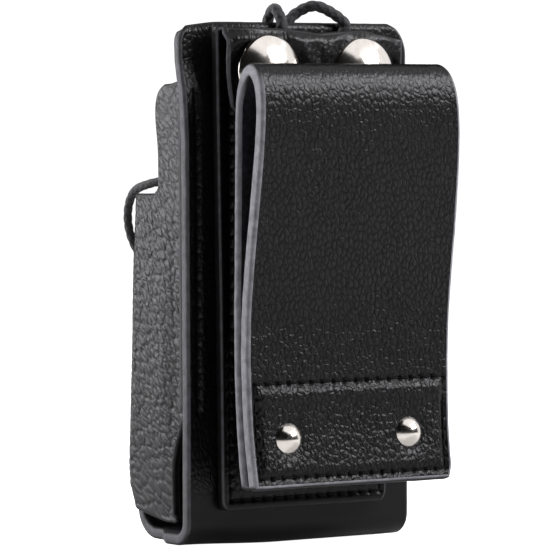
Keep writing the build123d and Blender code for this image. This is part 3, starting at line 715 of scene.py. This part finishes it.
def build_belt_loop():
    """One strap, then cut into inner leaf, fold and outer leaf so that it can open."""
    coarse = np.arange(LOOP_EDGE_R, FOLD_START - 4, 0.6)
    fine = np.arange(FOLD_START - 4, LOOP_RUN - LOOP_EDGE_R + 0.01, 0.32)
    v = np.concatenate([coarse, fine])
    left, right = loop_edges(v)
    u, w = span(v, right + LOOP_EDGE_R, left - LOOP_EDGE_R, 0.36)
    points = loop_surface(u.ravel(), w.ravel())
    uv = np.stack([u.ravel(), w.ravel()], axis=1)
    quads = facing(points, grid_quads(*u.shape), w.ravel(), FOLD_END, (0, 1, 0))
    shape, faces, kinds, coordinates = sheet_mesh(points, uv, quads, loop_thickness(uv[:, 1]), loop_relief,
                                                  LOOP_EDGE_R)
    normals = vertex_normals(shape, faces)
    place = coordinates[faces, 1].mean(axis=1)
    pieces = {}
    cuts = {"loop_inner_leaf": (-1, FOLD_START), "loop_fold": (FOLD_START, FOLD_END),
            "loop_outer_leaf": (FOLD_END, LOOP_RUN + 1)}
    for name, (low, high) in cuts.items():
        chosen = (place > low) & (place <= high)
        used = np.unique(faces[chosen])
        number = np.full(len(shape), -1)
        number[used] = np.arange(len(used))
        piece = mesh_object(name, shape[used], number[faces[chosen]], LOOP_SKIN, kinds[chosen],
                            coordinates[used], GRAIN, loop_calm)
        close_cut_ends(piece)
        piece.data.normals_split_custom_set_from_vertices(normals[used].tolist())
        pieces[name] = piece
    return pieces


def close_cut_ends(obj):
    """Closes the sections where the strap is divided into leaves and fold."""
    bm = bmesh.new()
    bm.from_mesh(obj.data)
    rims = [e for e in bm.edges if e.is_boundary]
    made = bmesh.ops.holes_fill(bm, edges=rims, sides=0)["faces"]
    for face in made:
        face.material_index = 2
        face.smooth = False
    bm.to_mesh(obj.data)
    bm.free()


# ---------------------------------------------------------------- back strap

STRAP_EDGE_R = 0.8
STRAP_GRID = 0.48
TAB_Y = STRAP_LOW[1]
TAB_TOP = 40.0           # the strap ends in a tab inside the front wall
REAR_BEND_R, FRONT_BEND_R = 6.0, 9.2
STRAP_PATH = rounded_path([(PANEL_Y, PANEL_TOP), (PANEL_Y, 0.0), (TAB_Y, 0.0), (TAB_Y, TAB_TOP)],
                          [REAR_BEND_R, FRONT_BEND_R])
STRAP_RUN = STRAP_PATH[1][-1]
WAIST_HALF = 29.0        # half width under the case
TAB_HALF = 26.0
SIDE_SEAM_X = 31.2


def strap_ends(v):
    """Left and right edge of the strap; each side has its top corner radius and its extra width."""
    y, z = along(STRAP_PATH, v)
    half = np.interp(-y, [-3.0, 6.0], [PANEL_HALF, WAIST_HALF])
    half = np.where(v < 60, PANEL_HALF, half)
    tab = fade((z - 7.0) / 3.0) * (y < 0)
    half = half + (TAB_HALF - half) * np.where(v > 100, tab, 0)
    ends = []
    for corner, top_extra, foot_extra in ((5.0, 0.7, 0.7), (8.6, 0.4, 0.7)):
        drop = np.clip(corner - v, 0, corner)
        extra = top_extra + (foot_extra - top_extra) * fade((v - 70.0) / 50.0)
        extra = extra * fade((172.0 - v) / 30.0)
        ends.append(half + extra - np.where(v < 60, corner - np.sqrt(corner**2 - drop**2), 0))
    return ends


def strap_surface(u, v):
    """The strap in space: its upper left corner curls forward and its top edge dips to the left."""
    y, z = along(STRAP_PATH, v)
    panel = v < 115
    curl = np.interp(z, [104.0, 111.0, 116.0, 120.0, 124.0, 130.0], [0.0, 0.5, 1.1, 2.0, 2.8, 3.1])
    curl = curl * fade((u - 12.0) / 20.0)
    wave = 0.3 * noise(u / 21.0, z / 40.0, 4) * fade(v / 40)
    dip = 1.1 * fade((u - 23.0) / 12.0) * fade((z - 118.0) / 14.0)
    sag = 0.9 * fade((u - 4.0) / 30.0) * fade((30.0 - z) / 30.0)
    roll = 0.9 * fade((2.6 - v) / 2.6) ** 2
    y = y + np.where(panel, wave - curl - roll, 0)
    z = z + sag - np.where(panel, dip, 0)
    return np.stack([u + 0 * y, y, z], axis=-1)


def side_seam(side):
    """The seam that closes one side wall onto the back."""
    low, high = PANEL_TOP - 115.6, PANEL_TOP - 35.0
    return seam([(side * SIDE_SEAM_X, low), (side * SIDE_SEAM_X, high)], 3.3)


def strap_calm(u, v):
    """The grain fades out toward the rear bend, where the leather is stretched smooth."""
    return 0.75 * fade((PANEL_TOP - 9.0 - v) / 9.0)


def strap_relief(u, v):
    lift = 0.6 * grain(u, v, 21) * strap_calm(u, v)
    for side in (-1, 1):
        lift += groove(u, v, side_seam(side), depth=0.4, pit=0.5)
    return lift


def build_back_strap():
    r = STRAP_EDGE_R
    v = np.arange(r, STRAP_RUN - r + 0.01, STRAP_GRID)
    left, right = strap_ends(v)
    u, w = span(v, -right + r, left - r, STRAP_GRID)
    u, w = u.ravel(), w.ravel()
    points = strap_surface(u, w)
    quads = facing(points, grid_quads(len(v), len(u) // len(v)), -w, -100.0, (0, 1, 0))
    return leather_sheet("back_strap_leather", points, np.stack([u, w], axis=1), quads, PANEL_T, strap_relief,
                         r, PANEL_SKIN, GRAIN, strap_calm)


# ---------------------------------------------------------------- front wrap

WRAP_SKIN_T = 2.1
WRAP_EDGE_R = 0.7
WRAP_GRID = 0.38
WRAP_X = 31.0            # outer face of the side walls
WRAP_Y = WRAP_LOW[1]
WRAP_CORNER_R = 4.0
FLANGE_Y = 8.40          # outer face of the flanges sewn to the back
# the wrap seen from above: left flange, side, front, side, right flange
PLAN = rounded_path(
    [(PANEL_HALF, FLANGE_Y), (WRAP_X, FLANGE_Y), (WRAP_X, WRAP_Y), (-WRAP_X, WRAP_Y),
     (-WRAP_X, FLANGE_Y), (-PANEL_HALF, FLANGE_Y)],
    [1.6, WRAP_CORNER_R, WRAP_CORNER_R, 1.6],
)
PLAN_RUN = PLAN[1][-1]
WING_TOP = WRAP_HIGH[2]


def plan_run_at(y):
    """Run length where the left side wall passes a depth y."""
    line, run = PLAN
    on_side = (run < PLAN_RUN / 2) & (run > 4.0)
    return np.interp(-y, -line[on_side, 1], run[on_side])


WING_RUN = plan_run_at(WING_FRONT_Y)


def wrap_surface(s, z):
    """The wrap in space: it leans back toward the top and is drawn in around its foot."""
    x, y = along(PLAN, s)
    front = fade((-y - 2.0) / 18.0)
    lean = np.interp(z, [9.0, 11.0, 14.5, 20.0, 30.0, 45.0, 57.0, 72.0, 88.0],
                     [1.9, 1.2, -0.4, -0.8, 0.0, 0.9, 1.5, 1.9, 2.9])
    bulge = 0.5 * np.sin(np.clip((z - 4) / 90, 0, 1) * math.pi)
    side = np.clip(1 - np.abs(np.abs(x) - WRAP_X) / 3, 0, 1) * fade((4 - y) / 8)
    x = x + np.sign(x) * side * bulge
    rise = (0.4 + 0.8 * fade((y + 1.0) / 6.0)) * fade((z - 108.0) / 9.0)
    nod = 1.3 * fade((1.0 - y) / 5.0) * fade((z - 99.0) / 12.0)
    return np.stack([x, y + front * lean - nod, z + rise], axis=-1)


def wrap_relief(u, v):
    return grain(u, v, 33, WALL_GRAIN) + groove(u, v, front_tab_seam())


def wrap_calm(u, v):
    """The grain is stretched nearly smooth around the foot."""
    return 0.15 + 0.85 * fade((v - 13.0) / 14.0)


def front_tab_seam():
    """Rectangle of stitches that holds the back strap's tab inside the front wall."""
    middle = PLAN_RUN / 2
    return seam([(middle - 22.5, 14.0), (middle + 22.5, 14.0), (middle + 22.5, 36.0), (middle - 22.5, 36.0)],
                STITCH, closed=True)


def wing_edge(z):
    """Run length of the front edge of the tall part of the side wall at each height."""
    fillet, corner = 2.5, 6.6
    foot = fillet - np.sqrt(np.maximum(fillet**2 - np.clip(SHELF_Z + fillet - z, 0, fillet) ** 2, 0))
    top = corner - np.sqrt(np.maximum(corner**2 - np.clip(z - WING_TOP + corner, 0, corner) ** 2, 0))
    return WING_RUN + foot - top


def wall_grid():
    """Run length and height over the wall up to its step; low down its side edges hang free of the back."""
    r = WRAP_EDGE_R
    t = np.linspace(0, 1, int(PLAN_RUN / WRAP_GRID))
    up = np.linspace(0, 1, int((SHELF_Z - r - 6) / WRAP_GRID))
    foot = np.interp(along(PLAN, t * PLAN_RUN)[1], [WRAP_Y, 5.4], [9.4, 5.7]) + r
    z = foot[None] + (SHELF_Z - r - foot[None]) * up[:, None]
    free_y = np.interp(z, [5.0, 6.2, 8.0, 12.0, 18.0, 22.0, 26.0, 30.0, 34.0],
                       [5.2, 3.2, 1.7, 1.6, 1.5, 1.9, 3.0, 4.9, 6.8])
    loose = fade((36.0 - z) / 3.0)
    free = (plan_run_at(free_y) + r) * loose + r * (1 - loose)
    return free + (PLAN_RUN - 2 * free) * t, z


def wing_grid(columns):
    """Run length and height over the tall part of the left side wall."""
    r = WRAP_EDGE_R
    z = np.arange(SHELF_Z - r + WRAP_GRID, WING_TOP - r + 0.01, WRAP_GRID)
    edge = wing_edge(z) - r
    s = r + (edge[:, None] - r) * np.linspace(0, 1, columns)
    return s, np.repeat(z[:, None], columns, axis=1)


def build_front_wrap():
    """The wall up to its step, then the tall part of each side wall, joined onto the wall's top row."""
    s, z = wall_grid()
    columns = int(np.searchsorted(s[-1], WING_RUN - WRAP_EDGE_R))
    wing_s, wing_z = wing_grid(columns)
    runs, heights, quads = [s.ravel()], [z.ravel()], [grid_quads(*s.shape)]
    used = s.size
    for mirrored in (False, True):
        if mirrored:
            base = s.size - 1 - np.arange(columns)
        else:
            base = s.size - s.shape[1] + np.arange(columns)
        numbers = np.concatenate([base[None], np.arange(used, used + wing_s.size).reshape(wing_s.shape)])
        faces = numbers.ravel()[grid_quads(*numbers.shape)]
        quads.append(faces[:, [1, 0, 3, 2]] if mirrored else faces)
        runs.append(PLAN_RUN - wing_s.ravel() if mirrored else wing_s.ravel())
        heights.append(wing_z.ravel())
        used += wing_s.size
    uv = np.stack([np.concatenate(runs), np.concatenate(heights)], axis=1)
    points = wrap_surface(uv[:, 0], uv[:, 1])
    quads = facing(points, np.concatenate(quads), -np.abs(points[:, 0]), -20.0, (0, -1, 0))
    return leather_sheet("front_wrap_leather", points, uv, quads, WRAP_SKIN_T, wrap_relief, WRAP_EDGE_R,
                         SKIN, WALL_GRAIN, wrap_calm)


# ---------------------------------------------------------------- backing panel, yoke, packing

BACKING_T = 2.8
UPRIGHT_GRID = 0.42


def upright_sheet(name, z, edges, face_y, thickness, relief, rise, edge_r, skin=SKIN, calm=everywhere,
                  spacing=UPRIGHT_GRID):
    """A piece that stands against the back of the case: rows of z from its foot to its top edge."""
    left, right = edges(z)
    u, w = span(z, right + edge_r, left - edge_r, spacing)
    u, w = u.ravel(), w.ravel()
    w = w + rise(u) * fade((w - z[-1] + 14.0) / 14.0)
    points = np.stack([u, face_y(u, w), w], axis=1)
    if callable(thickness):
        thickness = thickness(u, w)
    quads = facing(points, grid_quads(len(z), len(u) // len(z)), w, 0.0, (0, 1, 0))
    return leather_sheet(name, points, np.stack([u, w], axis=1), quads, thickness, relief, edge_r, skin,
                         GRAIN, calm)


def rows(low, high, edge_r, spacing=UPRIGHT_GRID):
    """Heights of the rows of points between two rounded edges."""
    return np.linspace(low + edge_r, high - edge_r, int((high - low) / spacing))


def rounded_end(z, low, high, corner):
    """How far rounded corners cut in at each height."""
    drop = np.maximum(np.clip(corner - (z - low), 0, corner), np.clip(corner - (high - z), 0, corner))
    return corner - np.sqrt(corner**2 - drop**2)


def backing_y(u, z):
    """The panel lies flat at its seams and swells over the pocket."""
    raised = fade((24.0 - np.abs(u)) / 4.5) * fade((z - 49.0) / 13.0)
    return BACKING_LOW[1] + BACKING_T + (BACKING_HIGH[1] - BACKING_LOW[1] - BACKING_T) * raised


def backing_edges(z):
    """Left and right edge at each height; only the corners at the foot are rounded."""
    cut = rounded_end(z, BACKING_LOW[2], 2 * PANEL_TOP, 3.0)
    heights = [9.0, 60.0, 131.0]
    return np.interp(z, heights, [26.0, 26.4, 27.4]) - cut, cut - np.interp(z, heights, [25.4, 26.2, 28.2])


def backing_seam():
    """Down one side, along the foot and up the other side."""
    return seam([(-23.4, 130.0), (-23.4, 12.4), (23.4, 12.4), (23.4, 130.0)], STITCH)


def backing_calm(u, v):
    """The grain is pressed flat below the seam at the foot."""
    return fade((v - 12.5) / 3.0)


def backing_relief(u, v):
    return grain(u, v, 41) * backing_calm(u, v) + groove(u, v, backing_seam())


def top_wave(u):
    """How far the upper edges of backing panel and yoke rise and dip."""
    return np.interp(u, [-28, -22, -16, -2.4, 7, 26], [-1.6, -0.6, 0.3, -0.6, 0.4, 0.9])


def yoke_edges(z):
    """The yoke narrows to a neck where it goes down behind the loop."""
    left = np.interp(z, [101.0, 107.0, 112.0, 131.0], [19.0, 21.5, 25.4, 26.6])
    return left, -np.interp(z, [101.0, 110.0, 113.0, 131.0], [20.0, 25.0, 27.4, 28.6])


def yoke_y(u, z):
    """The yoke sinks under the rivets, puckers around them and droops at its sides."""
    rise = 0.0
    for x in RIVET_XS:
        spot = np.hypot(u - x, z - RIVET_Z)
        rise = rise - 0.8 * np.exp(-((spot / 10.5) ** 4)) + 0.5 * np.exp(-(((spot - 12.3) / 2.0) ** 2))
    droop = 2.1 * fade((np.abs(u) - 17.0) / 9.5)
    roll = 1.5 * fade((z - YOKE_HIGH[2] + 3.6) / 3.6) ** 2
    return YOKE_HIGH[1] + rise - droop - roll


def yoke_thickness(u, z):
    """Skived thin toward its sides."""
    return 2.6 - 1.2 * fade((np.abs(u) - 14.0) / 10.0)


def yoke_relief(u, v):
    return grain(u, v, 51) + 0.12 * noise(u / 2.6, v / 3.4, 77)


def yoke_calm(u, v):
    """The yoke's grain is pulled half smooth."""
    return 0.45 * everywhere(u, v)


def packing_edges(z):
    cut = rounded_end(z, PACK_LOW[2], PACK_HIGH[2], 4.0)
    return PACK_HIGH[0] - cut, PACK_LOW[0] + cut


def reinforcement_edges(z):
    inset = 2.6 + 0 * z
    return OUTER_HIGH[0] - inset, OUTER_LOW[0] + inset


def flat(u):
    """A straight upper edge."""
    return 0 * u


def build_upright_pieces():
    # the backing panel's edge carries a painted highlight line along its outer corner
    backing = upright_sheet("backing_panel_leather", rows(BACKING_LOW[2], BACKING_HIGH[2], 0.8),
                            backing_edges, backing_y, BACKING_T, backing_relief, top_wave, 0.8, RIM_HIGHLIGHT_SKIN,
                            backing_calm)
    yoke = upright_sheet("yoke_leather", rows(YOKE_LOW[2], YOKE_HIGH[2], 0.8), yoke_edges, yoke_y,
                         yoke_thickness, yoke_relief, top_wave, 0.6, PANEL_SKIN, yoke_calm)
    packing = upright_sheet("loop_packing_leather", rows(PACK_LOW[2], PACK_HIGH[2], 0.6, 0.8), packing_edges,
                            lambda u, z: PACK_HIGH[1] + 0 * u, PACK_HIGH[1] - PACK_LOW[1],
                            lambda u, v: 0.3 * grain(u, v, 61), flat, 0.6, spacing=0.8)
    return backing, yoke, packing


def patch_sheet():
    """Reinforcement glued inside the outer leaf, behind the snaps."""
    line, run = LOOP_PATH
    outer = run > FOLD_END

    def back_of_leaf(u, z):
        return np.interp(z, line[outer, 1][::-1], line[outer, 0][::-1]) - LOOP_T - 0.05

    return upright_sheet("flap_reinforcement_leather", rows(PATCH_LOW_Z, PATCH_HIGH_Z, 0.2, 0.7),
                         reinforcement_edges, back_of_leaf, 0.5, lambda u, v: 0 * u, flat, 0.2, spacing=0.8)


# ---------------------------------------------------------------- metal


def turned(name, places, profile, sides=96):
    """Nickel solids of revolution about +Y: profile gives (radius, height) from the front centre back."""
    angle = np.arange(sides) * 2 * math.pi / sides
    rings = [np.stack([r * np.cos(angle), np.full(sides, h), r * np.sin(angle)], axis=1)
             for r, h in profile[1:-1]]
    tips = [np.array([[0, h, 0]]) for h in (profile[0][1], profile[-1][1])]
    shape = np.concatenate([tips[0], *rings, tips[1]])
    faces = ring_faces(1, len(rings), sides, 0, len(shape) - 1)
    return mesh_object(name, *merged([(shape + np.array(place), faces) for place in places]), [NICKEL])


def dome_profile(radius, height, rim):
    """A domed cap with a rolled rim: (radius, height) from the top of the dome to the back."""
    crown = height - rim
    sphere = (radius**2 + crown**2) / (2 * crown)
    profile = [(0.0, height)]
    for r in np.linspace(0, radius * 0.94, 40)[1:]:
        profile.append((r, rim + math.sqrt(sphere**2 - r**2) - (sphere - crown)))
    start_r, start_h = profile[-1]
    slope = math.asin(start_r / sphere)
    for t in np.linspace(0, 1, 17)[1:]:
        a = slope + t * (math.pi / 2 - slope)
        out = (math.sin(a) - math.sin(slope)) / (1 - math.sin(slope))
        down = (math.cos(slope) - math.cos(a)) / math.cos(slope)
        profile.append((start_r + (radius - start_r) * out, start_h * (1 - 0.8 * down)))
    profile.append((radius, 0.1 * start_h))
    profile.append((radius * 0.95, 0.0))
    profile.append((0.0, 0.0))
    return profile


def build_metal():
    """Two large rivet caps, the right one set a little askew, and two snap caps."""
    rivet = dome_profile(RIVET_R, RIVET_HIGH[1] - RIVET_LOW[1] + 0.4, 0.9)
    right, left = RIVET_XS
    centres = [(left, RIVET_LOW[1] - 0.6, RIVET_Z), (right + 0.3, RIVET_LOW[1] - 1.1, RIVET_Z - 0.5)]
    domes = turned("rivet_dome_caps", centres, rivet, 160)
    snap = dome_profile(SNAP_R, SNAP_HIGH[1] - SNAP_LOW[1], 0.8)
    caps = turned("snap_dome_caps", [(x, SNAP_LOW[1] - 0.05, SNAP_Z) for x in SNAP_XS], snap)
    return domes, caps


# ---------------------------------------------------------------- elastic cord

CORD_R = 1.1
CORD_TOP_R = 1.38        # where it is slack over the top edge


def cord_line():
    """Knot, side run, top loop, pocket, top loop, side run, knot: one length of elastic."""
    pocket_y = (POCKET_LOW[1] + POCKET_HIGH[1]) / 2
    inside_y = LOOPS_LOW[1] + 1.45
    top = LOOPS_HIGH[2]
    wall = WRAP_Y + 1.0
    left = [(9.0, wall + 4.0, 60.0), (9.0, wall + 1.0, 60.0), (9.6, wall - 0.8, 60.8),
            (15.0, wall - 1.0, 64.5), (24.0, wall - 1.4, 71.5), (27.8, wall - 2.6, 78.5),
            (29.0, wall - 2.2, 85.2), (29.2, wall + 1.4, 90.4), (28.8, -11.5, 92.5), (26.0, -4.5, 94.0),
            (20.5, 3.0, 100.0), (10.0, inside_y - 0.8, 118.0), (6.8, inside_y, 127.0),
            (6.4, inside_y - 0.25, 133.6), (6.4, (pocket_y + inside_y) / 2, top - 2.6),
            (6.4, pocket_y + 0.15, 133.4), (6.6, pocket_y, 129.0), (5.0, pocket_y, 112.0),
            (-0.5, pocket_y, 102.0)]
    right = [(-6.0, pocket_y, 112.0), (-12.0, pocket_y, 129.0), (-13.4, pocket_y + 0.15, 133.4),
             (-6.8, (pocket_y + inside_y) / 2 + 0.6, top - 1.9), (-2.7, inside_y + 0.3, 136.3),
             (0.5, inside_y - 0.3, 132.8), (1.4, inside_y, 127.0), (-0.5, inside_y - 0.8, 118.0)]
    right += [(-x, y, z) for x, y, z in reversed(left[:11])]
    return smooth_path(spline_points(left + right), 0.34, 2.0)


def spline_points(control):
    """Catmull-Rom curve through the control points."""
    control = np.array(control, float)
    padded = np.concatenate([2 * control[:1] - control[1:2], control, 2 * control[-1:] - control[-2:-1]])
    line = []
    for k in range(len(control) - 1):
        p0, p1, p2, p3 = padded[k:k + 4]
        for t in np.linspace(0, 1, 16, endpoint=False):
            line.append(0.5 * (2 * p1 + (p2 - p0) * t + (2 * p0 - 5 * p1 + 4 * p2 - p3) * t**2
                               + (3 * p1 - p0 - 3 * p2 + p3) * t**3))
    return np.array(line + [control[-1]])


def build_cord():
    """The cord with its braided surface, and the knots at its ends."""
    line, run = cord_line()
    sides = 26
    angle = np.arange(sides) * 2 * math.pi / sides
    turn = run[:, None] * 2.6
    one, other = np.cos(4 * angle + turn), np.cos(4 * angle - turn)
    swell = 0.09 * np.maximum(one, other) - 0.03
    radius = CORD_R + (CORD_TOP_R - CORD_R) * fade((line[:, 2] - 98.0) / 30.0)
    points, faces = tube(line, radius, sides, swell)
    cord = mesh_object("elastic_cord_braid", points, faces, [CORD])
    knots = [knot(side * 9.0, WRAP_LOW[1] + WRAP_SKIN_T + 2.9, 60.0) for side in (-1, 1)]
    ends = mesh_object("cord_knots", *merged(knots), [CORD])
    return cord, ends


def knot(x, y, z):
    """An overhand knot drawn tight: a short trefoil of cord."""
    t = np.linspace(0, 2 * math.pi, 90, endpoint=False)
    line = np.stack([x + 1.15 * (np.sin(t) + 1.2 * np.sin(2 * t)) * 0.75,
                     y + 0.75 * np.sin(3 * t),
                     z + 1.15 * (np.cos(t) - 1.2 * np.cos(2 * t)) * 0.75], axis=1)
    line = np.concatenate([line, line[:1]])
    return tube(line, np.full(len(line), CORD_R * 0.86), 14)


# ---------------------------------------------------------------- assembly


def put(piece, body, slot, *nodes):
    """Fastens a piece to a body of the frame in place of CAD nodes."""
    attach(piece, body)
    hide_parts(*nodes)


def assemble():
    """Builds every piece and ties it to its body, except the fold and the cord, whose placing is only baked
    into their points; the hidden metal parts keep their CAD shape.
    """
    loop = build_belt_loop()
    put(loop["loop_inner_leaf"], "case", "leather", "belt_loop_inner_leaf")
    put(loop["loop_outer_leaf"], "loop_flap", "leather", "belt_loop_outer_leaf")
    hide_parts("belt_loop_fold")
    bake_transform(loop["loop_fold"])
    put(build_back_strap(), "case", "leather", "back_strap")
    put(build_front_wrap(), "case", "leather", "front_wrap")
    backing, yoke, packing = build_upright_pieces()
    put(backing, "case", "leather", "backing_panel")
    put(yoke, "case", "leather", "yoke_tab")
    put(packing, "case", "leather", "loop_packing")
    put(patch_sheet(), "loop_flap", "leather", "flap_reinforcement")
    domes, caps = build_metal()
    put(domes, "case", "nickel", "rivet_caps")
    put(caps, "loop_flap", "nickel", "snap_caps")
    cord, knots = build_cord()
    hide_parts("cord_pocket_run", "cord_top_loops", "cord_side_runs")
    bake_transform(cord)
    put(knots, "case", "elastic_cord", "cord_end_knots")
    sew()
    for node in ("snap_sockets", "snap_studs", "snap_posts", "rivet_posts", "rivet_washers"):
        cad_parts[node].data.materials.clear()
        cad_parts[node].data.materials.append(NICKEL)


def backing_surface(u, v):
    return np.stack([u, backing_y(u, v), v + 0 * u], axis=-1)


def sew():
    """Every seam: the thread's name, the surface, its holes, a place to judge its outer side, the node."""
    for name, side in (("side_stitches_right", -1), ("side_stitches_left", 1)):
        sew_seam(name, strap_surface, side_seam(side), (SIDE_SEAM_X, 60.0), "stitching_side_seams", sink=0.3)
    sew_seam("backing_stitches", backing_surface, backing_seam(), (10.0, 30.0), "stitching_backing_panel")
    sew_seam("flap_stitches", loop_surface, patch_seam(), (0.0, PATCH_HIGH), "stitching_flap_patch",
             body="loop_flap")
    sew_seam("loop_anchor_stitches", inner_face_surface, anchor_seam(), (0.0, 60.0), "stitching_loop_anchor",
             sink=0.0)
    sew_seam("front_tab_stitches", wrap_surface, front_tab_seam(), (PLAN_RUN / 2, 20.0),
             "stitching_front_tab", toward=(0, -1, 0))


def sew_seam(name, surface, holes, sample, node, body="case", sink=0.18, toward=(0, 1, 0)):
    """Lays the thread on the side of the surface that looks toward a direction at a sample point."""
    side = side_of(surface, sample, toward)
    put(stitches(name, surface, holes, side, sink), body, "thread", node)


def inner_face_surface(u, v):
    """The side of the inner leaf that faces the slot."""
    points = loop_surface(u, v)
    points[..., 1] += INNER_LEAF_T
    return points


def side_of(surface, sample, toward):
    """1 or -1: the sense in which the surface's own normal points toward a direction."""
    u, v = np.array(sample, float)[:, None]
    normal = surface_frame(surface, u, v)[1]
    return 1.0 if normal[0] @ np.array(toward, float) > 0 else -1.0


# ---------------------------------------------------------------- stage, light and camera


def floor_material():
    """White paper that the camera sees as a clean bright sweep; the object sees it much dimmer."""
    shading = Shading("white_floor")
    seen = shading.node("LightPath").outputs["Is Camera Ray"]
    return shading.finish({
        "Base Color": shading.ramp(shading.noise(3.0), 0.3, gray(0.86), 0.7, gray(0.87)),
        "Roughness": 0.8,
        "Emission Color": gray(1),
        "Emission Strength": shading.remap(seen, 0.01, 1.05),
    })


def build_stage():
    bpy.ops.mesh.primitive_plane_add(size=14)
    floor = bpy.context.object
    floor.name = "floor"
    floor.data.materials.append(floor_material())
    floor.location.z = -0.0006


LIGHT_TINT = (0.975, 0.965, 1.0)


def area_light(name, location, target, size, power, size_y=None):
    data = bpy.data.lights.new(name, "AREA")
    data.energy = power
    data.color = LIGHT_TINT
    data.size = size
    if size_y:
        data.shape = "RECTANGLE"
        data.size_y = size_y
    light = bpy.data.objects.new(name, data)
    bpy.context.scene.collection.objects.link(light)
    light.location = location
    light.rotation_euler = (Vector(location) - Vector(target)).to_track_quat("Z", "Y").to_euler()
    return light


STUDIO_GLOW = 0.004


def build_world():
    """White behind the object; the object itself sees a dark studio."""
    world = bpy.data.worlds.new("studio")
    bpy.context.scene.world = world
    world.use_nodes = True
    nodes, links = world.node_tree.nodes, world.node_tree.links
    path = nodes.new("ShaderNodeLightPath")
    strength = nodes.new("ShaderNodeMapRange")
    strength.inputs["To Min"].default_value = STUDIO_GLOW
    strength.inputs["To Max"].default_value = 1.1
    links.new(path.outputs["Is Camera Ray"], strength.inputs["Value"])
    links.new(strength.outputs["Result"], nodes["Background"].inputs["Strength"])
    nodes["Background"].inputs["Color"].default_value = gray(1)


def build_light():
    """A broad side light for the wall, a narrow one for the fold, and soft fill from above and right."""
    build_world()
    middle = (0, 0.02, 0.07)
    area_light("side_strip", (0.72, -1.0, 0.11), middle, 0.8, 14.5, 0.9)
    area_light("wall_accent", (0.50, -0.62, 0.85), middle, 0.35, 7.0)
    area_light("fold_softbox", (-0.70, 0.76, 0.63), middle, 0.65, 10.5, 0.36)
    area_light("top_softbox", (-0.36, 0.34, 0.98), middle, 1.5, 4.6, 0.9)
    area_light("right_softbox", (-1.17, 0.02, 0.42), middle, 1.0, 2.8, 0.9)
    bpy.context.scene.view_settings.view_transform = "Standard"


def build_camera():
    """The camera of the reference view, looking at the belt side from the left."""
    data = bpy.data.cameras.new("camera")
    data.lens = 262.5
    data.sensor_width = 36.0
    data.clip_start = 0.05
    camera = bpy.data.objects.new("camera", data)
    bpy.context.scene.collection.objects.link(camera)
    camera.location = (0.6048, 0.8686, 0.1076)
    right, up = Vector((-0.8191, 0.5737, -0.0038)), Vector((-0.0250, -0.0291, 0.9993))
    back = right.cross(up)
    up = back.cross(right)
    turn = Matrix((right, up, back)).transposed()
    camera.rotation_euler = turn.to_euler()
    bpy.context.scene.camera = camera


assemble()
build_stage()
build_light()
build_camera()
